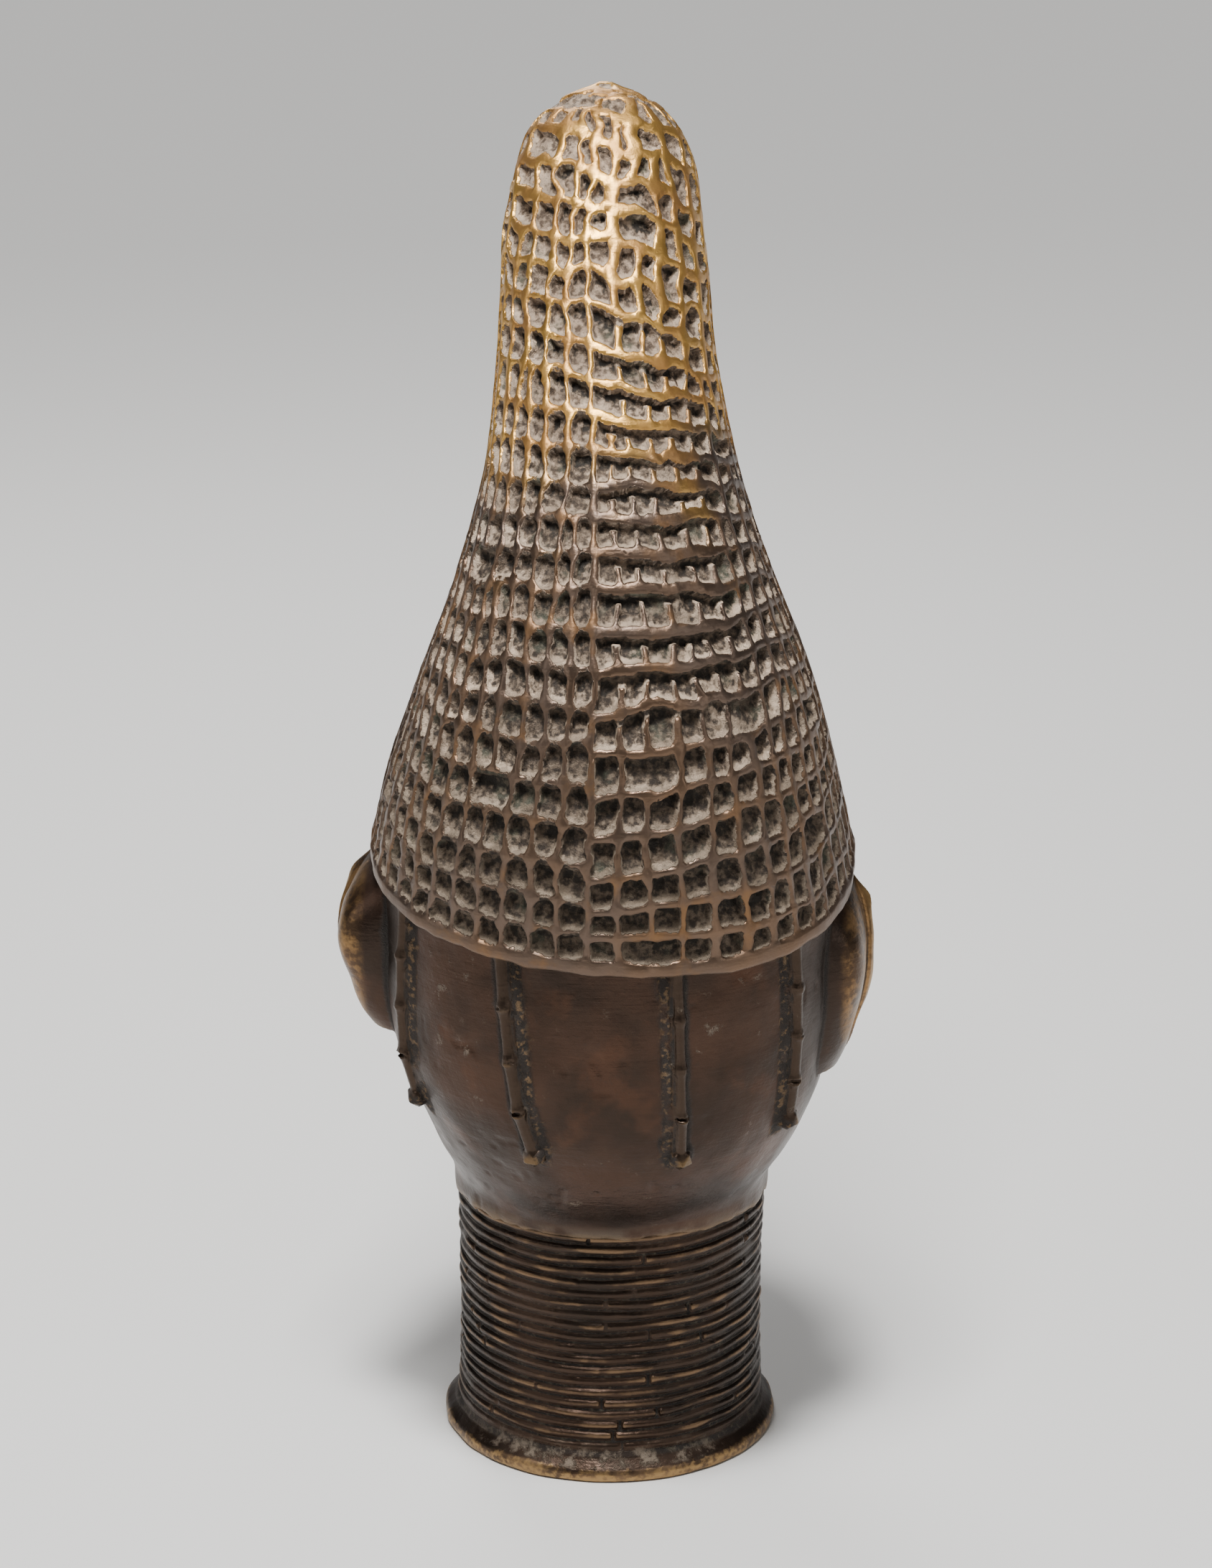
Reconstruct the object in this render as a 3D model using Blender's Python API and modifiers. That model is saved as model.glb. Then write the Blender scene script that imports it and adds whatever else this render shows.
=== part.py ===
"""Cast bronze bust: a head on a tall ringed collar, under a high netted cap whose peak leans forward.

The bust is one casting, so everything here is joined into one solid. Metres, +Z up, the face looks
along -Y, and the origin is the centre of the flat underside.
"""

import math

import bmesh
import bpy
from mathutils import Matrix, Vector

# Collar and its foot flange
FLANGE_RADIUS = 0.0640
FLANGE_THICKNESS = 0.0040
FLANGE_SLOPE = 0.0050
COLLAR_RADIUS = 0.0590
COLLAR_WAIST = 0.0010
COLLAR_HEIGHT = 0.1000
RING_COUNT = 20
RING_RELIEF = 0.0017
COLLAR_FACETS = 26

# Head, from the collar up to where its sides run straight up into the cap
HEAD_HEIGHT = 0.1150
HEAD_HALF_WIDTH = 0.0860
HEAD_BACK = 0.0930
HEAD_FRONT = 0.0890
# Height of the face above the collar, which the places of its features are shares of
FACE_HEIGHT = 0.1280
# How strongly the face's features stand out, where 1 is natural
FACE_RELIEF = 1.0

# Netted cap
CAP_HEIGHT = 0.2810
CAP_PROUD = 0.0038
RIM_HEIGHT = 0.0050
# How far above the head's sides the rim's lower edge lies over the ears in the mean, how much higher
# it lies over the +X ear, and how much lower at the nape
RIM_ABOVE_HEAD = 0.0170
RIM_LEAN = 0.0060
RIM_TILT = 0.0125
# Share of the way up the cap where both have died out
TILT_END = 0.40
NET_ROWS = 26
NET_COLUMNS = 44
NET_DEPTH = 0.0034
# How much taller the lowest cells are than even ones, as a share
ROW_STRETCH = 0.06
# Share of the way up where every second column of cells ends
NET_NARROWING = 0.46

# Ears. The one on the -X side sits lower and is narrower, with a longer lobe. An ear's top lies this
# far above the rim's mean height, or below it.
EAR_ABOVE_RIM = 0.0010
EAR_HEIGHT = 0.0650
EAR_WIDTH = 0.0340
LONG_EAR_ABOVE_RIM = -0.0040
LONG_EAR_HEIGHT = 0.0730
LONG_EAR_WIDTH = 0.0250
EAR_THICKNESS = 0.0078
# Level angle between the ear and straight back, and where it meets the head in front and behind,
# in degrees from the nape
EAR_FLARE_ANGLE = 24.0
EAR_FRONT_ANGLE = 98.0
EAR_BACK_ANGLE = 68.0

# Strands of tube beads that hang from the rim
STRAND_RADIUS = 0.0028
BEAD_LENGTH = 0.0200
BEAD_GROOVE = 0.0012
END_BALL_RADIUS = 0.0047
# Radius of a strand at the joint of two beads, as a share of its full radius
JOINT_RADIUS_SHARE = 0.62
# How far the middle of a bead or ball lies outside the head's skin, as a share of its radius
PROUD_SHARE = 0.35
# Angle from the nape towards +X of each strand, at the rim and at its foot, and how high the foot lies
# above the collar, as a share of the head's height
STRANDS = (
    (19.0, 14.5, 0.378),
    (-19.0, -21.5, 0.378),
    (52.5, 57.0, 0.448),
    (-54.0, -58.0, 0.413),
    (124.0, 122.0, 0.396),
    (-124.0, -122.0, 0.396),
)

BRONZE_COLOUR = (0.165, 0.105, 0.07, 1.0)

# A section is an ellipse whose corners are this full: 2 is a true ellipse
SECTION_POWER = 2.25
# Overlap that a joined piece gets with what it is joined to
JOIN_DEPTH = 0.0030

# Head meridians from the collar seat to the rim. Each line holds the share of the way up, then for the
# side, the back and the front of the head how far it has swelled from the collar's radius (0) to its
# full size (1), and how high it lies as a share of the head's height.
HEAD_STATIONS = (
    (0.00, (0.00, 0.000), (-0.03, 0.000), (0.02, -0.030)),
    (0.08, (0.10, 0.095), (0.12, 0.070), (0.52, -0.005)),
    (0.17, (0.34, 0.200), (0.39, 0.170), (0.80, 0.055)),
    (0.27, (0.54, 0.310), (0.62, 0.280), (0.89, 0.130)),
    (0.38, (0.72, 0.425), (0.80, 0.400), (0.87, 0.235)),
    (0.50, (0.85, 0.550), (0.92, 0.530), (0.88, 0.370)),
    (0.62, (0.94, 0.670), (0.98, 0.660), (0.92, 0.525)),
    (0.75, (0.98, 0.790), (1.00, 0.790), (0.97, 0.700)),
    (0.88, (1.00, 0.900), (1.00, 0.900), (1.00, 0.860)),
    (1.00, (1.00, 1.000), (0.99, 1.000), (1.00, 1.000)),
)

# Cap stations from the rim to the tip: share of the way up, half width as a share of the rim's, then
# the back and the front edge, as shares of the rim's back or front depth and of the cap's height
CAP_STATIONS = (
    (0.000, 1.000, (1.000, 0.000), (-1.000, 0.000)),
    (0.070, 0.962, (1.026, 0.066), (-0.985, 0.064)),
    (0.135, 0.914, (1.030, 0.140), (-0.935, 0.118)),
    (0.268, 0.792, (0.940, 0.290), (-0.845, 0.226)),
    (0.401, 0.638, (0.738, 0.436), (-0.770, 0.340)),
    (0.541, 0.510, (0.470, 0.579), (-0.750, 0.470)),
    (0.677, 0.444, (0.195, 0.720), (-0.790, 0.611)),
    (0.808, 0.412, (-0.090, 0.859), (-0.880, 0.754)),
    (0.907, 0.338, (-0.330, 0.960), (-0.930, 0.874)),
    (0.960, 0.205, (-0.480, 0.990), (-0.890, 0.942)),
    (1.000, 0.030, (-0.600, 1.000), (-0.640, 0.999)),
)

# Ear outline from the lobe to the top: share of the way up, and the reach as a share of the ear's width
EAR_STATIONS = (
    (0.00, 0.58),
    (0.10, 0.70),
    (0.28, 0.82),
    (0.46, 0.97),
    (0.58, 1.00),
    (0.74, 0.90),
    (0.89, 0.60),
    (1.00, 0.20),
)

# Sideways sway of the casting: height as a share of the whole, and the shift in thousandths of it
SWAY_STATIONS = (
    (0.00, 0.0),
    (0.19, -1.2),
    (0.26, -5.8),
    (0.34, -2.7),
    (0.50, -3.5),
    (0.60, -6.0),
    (0.72, -1.2),
    (0.82, 7.8),
    (0.90, 13.3),
    (1.00, 15.6),
)

# Facet lines of the face, as shares of its height: closer where the features are
FACE_ROWS = (
    0.03, 0.07, 0.11, 0.15, 0.185, 0.215, 0.243, 0.272, 0.305, 0.335, 0.358, 0.385, 0.42, 0.46,
    0.50, 0.535, 0.572, 0.61, 0.65, 0.70, 0.77, 0.84,
)
# Facet lines round the head, in degrees from the middle of the face to the nape
FACE_COLUMNS = (
    0, 2.6, 5.2, 8.0, 11.0, 14.0, 17.5, 21.5, 25.5, 30, 36, 43, 52, 64, 79, 98, 119, 140, 160, 180,
)


def smooth_between(stations, share):
    """The values at a share along the stations, on a curve that passes through each of them."""
    last = len(stations) - 1
    share = min(max(share, stations[0][0]), stations[last][0])
    index = next(i for i in range(last) if share <= stations[i + 1][0])
    start, end = stations[index][0], stations[index + 1][0]
    local = (share - start) / (end - start)

    def slope(at, item):
        low, high = max(at - 1, 0), min(at + 1, last)
        rise = stations[high][item] - stations[low][item]
        return rise / (stations[high][0] - stations[low][0])

    values = []
    for item in range(1, len(stations[0])):
        first, second = stations[index][item], stations[index + 1][item]
        span = end - start
        values.append(
            (2 * local**3 - 3 * local**2 + 1) * first
            + (local**3 - 2 * local**2 + local) * span * slope(index, item)
            + (3 * local**2 - 2 * local**3) * second
            + (local**3 - local**2) * span * slope(index + 1, item)
        )
    return values


def flat_rows(stations):
    """The stations with their grouped values written out in one row each."""
    rows = []
    for station in stations:
        row = []
        for value in station:
            row.extend(value if isinstance(value, tuple) else (value,))
        rows.append(tuple(row))
    return tuple(rows)


HEAD_CURVES = flat_rows(HEAD_STATIONS)
CAP_CURVES = flat_rows(CAP_STATIONS)
RIM_SIDE_HEIGHT = COLLAR_HEIGHT + HEAD_HEIGHT + RIM_ABOVE_HEAD
RIM_TOP = RIM_SIDE_HEIGHT + RIM_HEIGHT
BUST_HEIGHT = RIM_SIDE_HEIGHT + CAP_HEIGHT


def sway(height):
    """How far the casting leans sideways at a height."""
    return smooth_between(SWAY_STATIONS, height / BUST_HEIGHT)[0] * BUST_HEIGHT / 1000


def rounded(value, power):
    """A sine or cosine made fuller, so that an ellipse gets fuller corners."""
    return math.copysign(abs(value) ** (2 / power), value)


def bump(across, up, centre, level, width, height):
    """A soft round swelling of height 1."""
    return math.exp(-(((across - centre) / width) ** 2) - ((up - level) / height) ** 2)


def ramp(low, high, value):
    """0 below low, 1 above high, and smooth between."""
    local = min(max((value - low) / (high - low), 0.0), 1.0)
    return local * local * (3 - 2 * local)


def nose_relief(across, up):
    """The nose: a bridge that widens down to the tip, with a wing on each side."""
    down = ramp(0.68, 0.39, up)
    ridge = 0.028 + 0.108 * down**1.25
    width = 0.054 + 0.032 * down
    base = ramp(0.332, 0.376, up + 0.10 * across)
    bridge = ramp(0.78, 0.60, up) * ridge * math.exp(-((across / width) ** 2.2))
    tip = 0.016 * bump(across, up, 0.0, 0.398, 0.060, 0.040)
    off_wing = ((across - 0.106) / 0.050) ** 2 + ((up - 0.388) / 0.044) ** 2
    wing = 0.082 * math.exp(-(off_wing**1.25)) * ramp(0.33, 0.36, up)
    return base * (bridge + tip) + wing


def mouth_relief(across, up):
    """The lips on a low muzzle, with the parting between them and the crease under them."""
    share = min(across / 0.235, 1.0)
    taper = 1 - share**2
    parting = 0.243 + 0.010 * share**2
    if up > parting:
        height = (up - parting) / (0.012 + 0.044 * taper**0.8)
        lip = 0.048 * math.sqrt(taper) * max(1 - height**2, 0.0)
    else:
        height = (parting - up) / (0.014 + 0.050 * taper**0.7)
        lip = 0.054 * math.sqrt(taper) * max(1 - ((height - 0.3) / 0.7) ** 2, 0.0)
    seam = 0.030 * taper**0.3 * math.exp(-(((up - parting) / 0.0085) ** 2))
    muzzle = 0.048 * bump(across, up, 0.0, 0.25, 0.27, 0.14)
    crease = 0.018 * bump(across, up, 0.0, 0.158, 0.14, 0.024)
    return lip + muzzle - seam - crease


def eye_relief(across, up):
    """A blank almond eye between raised lids, set in a shallow socket under the brow."""
    half_width = 0.148
    x = (across - 0.285) / half_width
    y = up - 0.570 - 0.010 * x
    half_height = 0.062 if y > 0 else 0.048
    steepness = math.hypot(2 * x / half_width, 1 / half_height)
    away = (x**2 + abs(y) / half_height - 1) / steepness
    socket = 0.050 * bump(across, up, 0.27, 0.575, 0.19, 0.110)
    corner = 0.016 * bump(across, up, 0.10, 0.575, 0.060, 0.060)
    ball = 0.066 * math.sqrt(max(1 - (x / 1.18) ** 2 - (y / 0.105) ** 2, 0.0)) * ramp(0.034, -0.006, away)
    lids = 0.017 * math.exp(-(((away - 0.014) / 0.018) ** 2))
    arch = 0.668 + 0.040 * math.sin(math.pi * min(max((across - 0.06) / 0.52, 0.0), 1.0))
    ends = ramp(0.02, 0.12, across) * ramp(0.62, 0.46, across)
    brow = 0.026 * math.exp(-(((up - arch) / 0.040) ** 2)) * ends
    return ball + lids + brow - socket - corner


def face_relief(across, up):
    """How far the face stands out from the plain head. All lengths are shares of the face's height."""
    across = abs(across)
    chin = 0.048 * bump(across, up, 0.0, 0.085, 0.21, 0.085)
    cheek = 0.036 * bump(across, up, 0.40, 0.42, 0.18, 0.15)
    return nose_relief(across, up) + mouth_relief(across, up) + eye_relief(across, up) + chin + cheek


def head_point(turn, share):
    """A point of the head's surface. turn is in degrees from the nape, and share runs up the head."""
    side, side_up, back, back_up, front, front_up = smooth_between(HEAD_CURVES, share)
    angle = math.radians(turn)
    behind = math.cos(angle)
    swell, swell_up = (back, back_up) if behind > 0 else (front, front_up)
    full_depth = HEAD_BACK if behind > 0 else HEAD_FRONT
    depth = COLLAR_RADIUS + (full_depth - COLLAR_RADIUS) * swell
    width = COLLAR_RADIUS + (HEAD_HALF_WIDTH - COLLAR_RADIUS) * side
    power = 2 + (SECTION_POWER - 2) * min(2 * share, 1)
    height = COLLAR_HEIGHT + HEAD_HEIGHT * (side_up + (swell_up - side_up) * behind * behind)
    return Vector((
        width * rounded(math.sin(angle), power),
        depth * rounded(behind, power),
        height,
    ))


def share_at_height(turn, height):
    """How far up the head a height lies on one meridian."""
    low, high = 0.0, 1.0
    for _ in range(30):
        middle = (low + high) / 2
        if head_point(turn, middle).z < height:
            low = middle
        else:
            high = middle
    return low


def outward(point):
    """The level direction away from the bust's axis."""
    return Vector((point.x, point.y, 0)).normalized()


def head_skin(turn, height):
    """The head's surface at a height on one meridian, without the face and without sway."""
    point = head_point(turn, share_at_height(turn, height))
    point.z = height
    return point


def rim_level(point):
    """Height of the plane of the rim's lower edge above or below a point."""
    middle = (HEAD_BACK - HEAD_FRONT) / 2
    reach = (HEAD_BACK + HEAD_FRONT) / 2 + CAP_PROUD
    lean = RIM_LEAN * point.x / (HEAD_HALF_WIDTH + CAP_PROUD)
    return RIM_SIDE_HEIGHT + lean - RIM_TILT * (point.y - middle) / reach


def swayed(point):
    """The point moved by the casting's sideways sway."""
    return Vector((point.x + sway(point.z), point.y, point.z))


def new_object(name, mesh):
    """A mesh object in the bust's collection."""
    thing = bpy.data.objects.new(name, mesh)
    bust_collection.objects.link(thing)
    return thing


def object_from(name, shape):
    """An object that takes the finished bmesh."""
    bmesh.ops.recalc_face_normals(shape, faces=shape.faces)
    mesh = bpy.data.meshes.new(name)
    shape.to_mesh(mesh)
    shape.free()
    return new_object(name, mesh)


def add_band(shape, lower, upper):
    """The faces between two rings. The upper ring has as many points as the lower one, or half."""
    step = len(lower) // len(upper)
    faces = []
    for index in range(len(upper)):
        following = (index + 1) % len(upper)
        bottom = [lower[(index * step + i) % len(lower)] for i in range(step + 1)]
        faces.append(shape.faces.new(bottom + [upper[following], upper[index]]))
    return faces


def ringed_collar():
    """The collar of stacked bead rings on its foot flange, turned from one profile."""
    top_radius = COLLAR_RADIUS - RING_RELIEF
    profile = [(0.0, COLLAR_HEIGHT), (top_radius, COLLAR_HEIGHT)]
    lowest = FLANGE_THICKNESS + FLANGE_SLOPE
    pitch = (COLLAR_HEIGHT - lowest) / RING_COUNT
    for ring in range(RING_COUNT):
        middle = COLLAR_HEIGHT - pitch * (ring + 0.5)
        waist = COLLAR_WAIST * math.sin(math.pi * (middle - lowest) / (COLLAR_HEIGHT - lowest))
        profile.append((COLLAR_RADIUS - waist, middle))
        profile.append((COLLAR_RADIUS - waist - RING_RELIEF, middle - pitch / 2))
    profile.append((FLANGE_RADIUS, FLANGE_THICKNESS))
    profile.append((FLANGE_RADIUS, 0.0))
    profile.append((0.0, 0.0))

    shape = bmesh.new()
    points = [shape.verts.new((radius, 0, height)) for radius, height in profile]
    for first, second in zip(points, points[1:]):
        shape.edges.new((first, second))
    mesh = bpy.data.meshes.new("collar")
    shape.to_mesh(mesh)
    shape.free()
    collar = new_object("collar", mesh)
    turned = collar.modifiers.new("turned", "SCREW")
    turned.steps = COLLAR_FACETS
    turned.render_steps = COLLAR_FACETS
    turned.use_merge_vertices = True
    turned.merge_threshold = 0.0001
    return collar


def plain_head():
    """The head with its face, a loft of sections from inside the collar to inside the cap's rim."""
    turns = [180 - turn for turn in FACE_COLUMNS]
    turns += [-turn for turn in reversed(turns) if 0 < turn < 180]
    shape = bmesh.new()

    def ring(points):
        return [shape.verts.new(swayed(point)) for point in points]

    def section(share):
        points = []
        for turn in turns:
            point = head_point(turn, share)
            if point.y < 0:
                up = (point.z - COLLAR_HEIGHT) / FACE_HEIGHT
                relief = face_relief(point.x / FACE_HEIGHT, up) * FACE_HEIGHT * FACE_RELIEF
                point += outward(point) * relief * ramp(0.03, 0.10, share) * ramp(0.0, 0.3, -outward(point).y)
            points.append(point)
        return points

    seat_radius = COLLAR_RADIUS - RING_RELIEF - 2 * JOIN_DEPTH
    seat = []
    for turn in turns:
        angle = math.radians(turn)
        seat.append(Vector((
            seat_radius * math.sin(angle),
            seat_radius * math.cos(angle),
            COLLAR_HEIGHT - 2 * JOIN_DEPTH,
        )))
    rings = [ring(seat), ring(section(0.0))]
    rings += [ring(section(share_at_height(180, COLLAR_HEIGHT + row * FACE_HEIGHT))) for row in FACE_ROWS]
    top = section(1.0)
    rings.append(ring(top))
    rings.append(ring([Vector((p.x, p.y, rim_level(p) + RIM_HEIGHT / 2)) for p in top]))
    shape.faces.new(rings[0])
    shape.faces.new(rings[-1])
    for lower, upper in zip(rings, rings[1:]):
        add_band(shape, lower, upper)
    return object_from("bronze_bust", shape)


def cap_point(turn, share):
    """A point of the cap's outer surface, on a section that tips forward as the cap rises."""
    width, back, back_up, front, front_up = smooth_between(CAP_CURVES, share)
    rim_depth = HEAD_BACK + CAP_PROUD
    rim_front = HEAD_FRONT + CAP_PROUD
    height = CAP_HEIGHT - RIM_HEIGHT
    behind = Vector((0, back * (rim_depth if back > 0 else rim_front), RIM_TOP + back_up * height))
    ahead = Vector((0, front * rim_front, RIM_TOP + front_up * height))
    centre, reach = (behind + ahead) / 2, (behind - ahead) / 2
    aside = rounded(math.sin(math.radians(turn)), SECTION_POWER)
    along = rounded(math.cos(math.radians(turn)), SECTION_POWER)
    point = centre + reach * along
    point.x = width * (HEAD_HALF_WIDTH + CAP_PROUD) * aside
    point.z += (RIM_LEAN * aside - RIM_TILT * along) * ramp(TILT_END, 0.0, share)
    return point


def netted_cap():
    """The cap: a plain rim, then rows of cells that a net of ribs leaves, each pressed in."""
    shape = bmesh.new()

    def ring(share, count, lift=0.0):
        points = [cap_point(360 * (index + 0.5) / count, share) for index in range(count)]
        return [shape.verts.new(swayed(point + Vector((0, 0, lift)))) for point in points]

    rings = [ring(0.0, NET_COLUMNS, -RIM_HEIGHT), ring(0.0, NET_COLUMNS)]
    halfway = round(NET_ROWS * NET_NARROWING)
    for row in range(1, NET_ROWS):
        even = row / NET_ROWS
        count = NET_COLUMNS if row < halfway else NET_COLUMNS // 2
        rings.append(ring(even * (1 + ROW_STRETCH * (1 - even)), count))
    shape.faces.new(rings[0])
    cells = []
    for lower, upper in zip(rings, rings[1:]):
        band = add_band(shape, lower, upper)
        if lower is not rings[0]:
            cells += band
    tip = shape.verts.new(swayed(cap_point(0, 1.0)))
    crown = rings[-1]
    for index, point in enumerate(crown):
        shape.faces.new((point, crown[(index + 1) % len(crown)], tip))
    bmesh.ops.recalc_face_normals(shape, faces=shape.faces)
    bmesh.ops.poke(shape, faces=cells, offset=-NET_DEPTH)
    return object_from("netted_cap", shape)


def ear(side, top, tall, wide):
    """One ear, a wedge that opens backwards: its face has a rolled rim, a hollow and a lobe.

    side is 1 or -1. The wall behind the rim curves in to the head.
    """
    rows, columns = 9, 6
    flare = math.radians(EAR_FLARE_ANGLE)
    out = Vector((math.sin(flare), math.cos(flare), 0.0))
    ahead = Vector((out.y, -out.x, 0.0))
    shape = bmesh.new()
    rings = []
    for row in range(rows + 1):
        up = row / rows
        height = top - tall * (1 - up)
        root = head_skin(EAR_FRONT_ANGLE, height)
        root -= outward(root) * JOIN_DEPTH
        behind = head_skin(EAR_BACK_ANGLE, height)
        behind -= outward(behind) * 2 * JOIN_DEPTH
        reach = wide * smooth_between(EAR_STATIONS, up)[0] + JOIN_DEPTH
        thin = math.sin(math.pi * (0.06 + 0.88 * up)) ** 0.5
        shut = ramp(1.03, 0.84, up)
        front, back = [], []
        for column in range(columns + 1):
            along = column / columns
            rolled = 0.35 * EAR_THICKNESS * bump(along, up, 0.93, 0.60, 0.16, 0.42)
            hollow = 0.60 * EAR_THICKNESS * bump(along, up, 0.52, 0.56, 0.26, 0.26)
            swell = EAR_THICKNESS * thin * (0.25 + 0.25 * math.sqrt(1 - along**4))
            place = root + out * reach * along + ahead * 0.10 * wide * along**2
            front.append(place + ahead * (swell + rolled - hollow) * shut)
            edge = root + out * reach + ahead * (0.10 * wide + 0.05 * EAR_THICKNESS * thin * shut)
            plump = (out * 0.24 + ahead * 0.10) * reach * math.sin(math.pi * along**1.2)
            back.append(behind.lerp(edge, along) + plump)
        loop = front + list(reversed(back))
        rings.append([shape.verts.new(swayed(Vector((p.x * side, p.y, p.z)))) for p in loop])
    shape.faces.new(rings[0])
    shape.faces.new(rings[-1])
    for lower, upper in zip(rings, rings[1:]):
        add_band(shape, lower, upper)
    return object_from("ear", shape)


def mesh_of_curve(name, curve):
    """The curve as a closed mesh object: a curve's end caps are loose until they are welded."""
    drawn = bpy.data.objects.new(name, curve)
    bpy.context.scene.collection.objects.link(drawn)
    bpy.context.view_layer.update()
    evaluated = drawn.evaluated_get(bpy.context.evaluated_depsgraph_get())
    mesh = bpy.data.meshes.new_from_object(evaluated)
    shape = bmesh.new()
    shape.from_mesh(mesh)
    bmesh.ops.remove_doubles(shape, verts=shape.verts, dist=0.00001)
    bmesh.ops.recalc_face_normals(shape, faces=shape.faces)
    shape.to_mesh(mesh)
    shape.free()
    bpy.data.objects.remove(drawn)
    return new_object(name, mesh)


def bead_strand(top_turn, foot_turn, foot):
    """A string of tube beads down the skin of the head: a tube that is narrower at each joint."""
    top = rim_level(head_point(top_turn, 1.0)) + JOIN_DEPTH / 2
    length = top - foot
    gap = BEAD_GROOVE / 2
    route = []
    beads = max(1, round(length / BEAD_LENGTH))
    bead = length / beads
    for index in range(beads):
        start = top - bead * index
        route += [(start, JOINT_RADIUS_SHARE), (start - gap, 1.0), (start - bead + gap, 1.0)]
    route.append((foot, JOINT_RADIUS_SHARE))

    curve = bpy.data.curves.new("strand", "CURVE")
    curve.dimensions = "3D"
    curve.bevel_depth = STRAND_RADIUS
    curve.bevel_resolution = 1
    curve.use_fill_caps = True
    spline = curve.splines.new("POLY")
    spline.points.add(len(route) - 1)
    for point, (height, thickness) in zip(spline.points, route):
        down = (top - height) / length
        skin = head_skin(top_turn + (foot_turn - top_turn) * down, height)
        place = swayed(skin + outward(skin) * STRAND_RADIUS * PROUD_SHARE)
        point.co = (*place, 1.0)
        point.radius = thickness
    return mesh_of_curve("strand", curve)


def end_ball(turn, foot):
    """The faceted round bead at the foot of a strand."""
    skin = head_skin(turn, foot - JOIN_DEPTH / 2)
    centre = swayed(skin + outward(skin) * END_BALL_RADIUS * PROUD_SHARE)
    shape = bmesh.new()
    place = Matrix.Translation(centre)
    bmesh.ops.create_icosphere(shape, subdivisions=1, radius=END_BALL_RADIUS, matrix=place)
    return object_from("end_ball", shape)


def join_into(body, pieces):
    """One closed solid of the body and every piece."""
    for piece in pieces:
        joined = body.modifiers.new(piece.name, "BOOLEAN")
        joined.operation = "UNION"
        joined.solver = "EXACT"
        joined.object = piece
        piece.hide_render = True
        piece.display_type = "WIRE"
        bust_collection.objects.unlink(piece)
        pieces_collection.objects.link(piece)


def bronze():
    """Dark brown patinated bronze."""
    material = bpy.data.materials.new("bronze")
    material.use_nodes = True
    shader = material.node_tree.nodes["Principled BSDF"]
    shader.inputs["Base Color"].default_value = BRONZE_COLOUR
    shader.inputs["Metallic"].default_value = 0.85
    shader.inputs["Roughness"].default_value = 0.42
    return material


for old in list(bpy.data.objects):
    bpy.data.objects.remove(old)
bust_collection = bpy.data.collections.new("bronze bust")
pieces_collection = bpy.data.collections.new("joined pieces")
pieces_collection.hide_render = True
for collection in (bust_collection, pieces_collection):
    bpy.context.scene.collection.children.link(collection)

bust = plain_head()
joined_pieces = [ringed_collar(), netted_cap()]
joined_pieces.append(ear(1, RIM_SIDE_HEIGHT + EAR_ABOVE_RIM, EAR_HEIGHT, EAR_WIDTH))
joined_pieces.append(ear(-1, RIM_SIDE_HEIGHT + LONG_EAR_ABOVE_RIM, LONG_EAR_HEIGHT, LONG_EAR_WIDTH))
for rim_angle, foot_angle, foot_share in STRANDS:
    foot_height = COLLAR_HEIGHT + HEAD_HEIGHT * foot_share
    joined_pieces.append(bead_strand(rim_angle, foot_angle, foot_height))
    joined_pieces.append(end_ball(foot_angle, foot_height))
join_into(bust, joined_pieces)
bust.data.materials.append(bronze())
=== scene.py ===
"""Looks of the cast bronze bust: one casting with its net, beads, rings, face and worn patina.

The casting is first shaped as closed skins (collar, head with its face, netted cap, ears, bead strings and
bead rings). The collar's skins are melted into one surface and the head's into another; the cap stays as
drawn.
Metres, +Z up, the face looks along -Y, as in the frame.
"""

import math

import bmesh
import bpy
import numpy as np
from mathutils import Matrix, Vector


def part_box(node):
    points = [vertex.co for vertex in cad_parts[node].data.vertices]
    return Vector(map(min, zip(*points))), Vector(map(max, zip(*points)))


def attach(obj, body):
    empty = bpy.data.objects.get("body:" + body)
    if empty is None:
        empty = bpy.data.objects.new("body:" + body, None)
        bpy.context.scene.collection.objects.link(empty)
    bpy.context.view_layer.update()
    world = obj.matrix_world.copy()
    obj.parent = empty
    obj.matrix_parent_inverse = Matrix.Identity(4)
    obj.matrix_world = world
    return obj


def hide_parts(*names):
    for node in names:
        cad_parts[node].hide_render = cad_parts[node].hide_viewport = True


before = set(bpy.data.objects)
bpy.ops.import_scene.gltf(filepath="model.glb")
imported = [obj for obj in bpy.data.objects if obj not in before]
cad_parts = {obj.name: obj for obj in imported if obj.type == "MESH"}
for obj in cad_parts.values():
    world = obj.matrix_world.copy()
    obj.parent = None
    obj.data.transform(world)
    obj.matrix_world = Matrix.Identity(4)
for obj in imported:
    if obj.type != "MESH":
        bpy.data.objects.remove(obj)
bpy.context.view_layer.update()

# Driving sizes of the bust, at the height that it was designed at
DESIGN_HEIGHT = 0.5130
COLLAR_RADIUS = 0.0590
COLLAR_WAIST = 0.0010
COLLAR_HEIGHT = 0.1000
FLANGE_RADIUS = 0.0640
HEAD_HEIGHT = 0.1150
FACE_HEIGHT = 0.1280
HEAD_HALF_WIDTH = 0.0860
HEAD_BACK = 0.0930
HEAD_FRONT = 0.0890
CAP_PROUD = 0.0038
RIM_HEIGHT = 0.0050
# Mean height of the rim's lower edge over the ears, how much higher it lies over the +X ear and how much
# lower at the nape, and the share of the way up the cap where both have died out
RIM_SIDE_HEIGHT = 0.2320
RIM_LEAN = 0.0060
RIM_TILT = 0.0125
TILT_END = 0.40
RIM_TOP = RIM_SIDE_HEIGHT + RIM_HEIGHT
CAP_HEIGHT = DESIGN_HEIGHT - RIM_TOP
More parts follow.
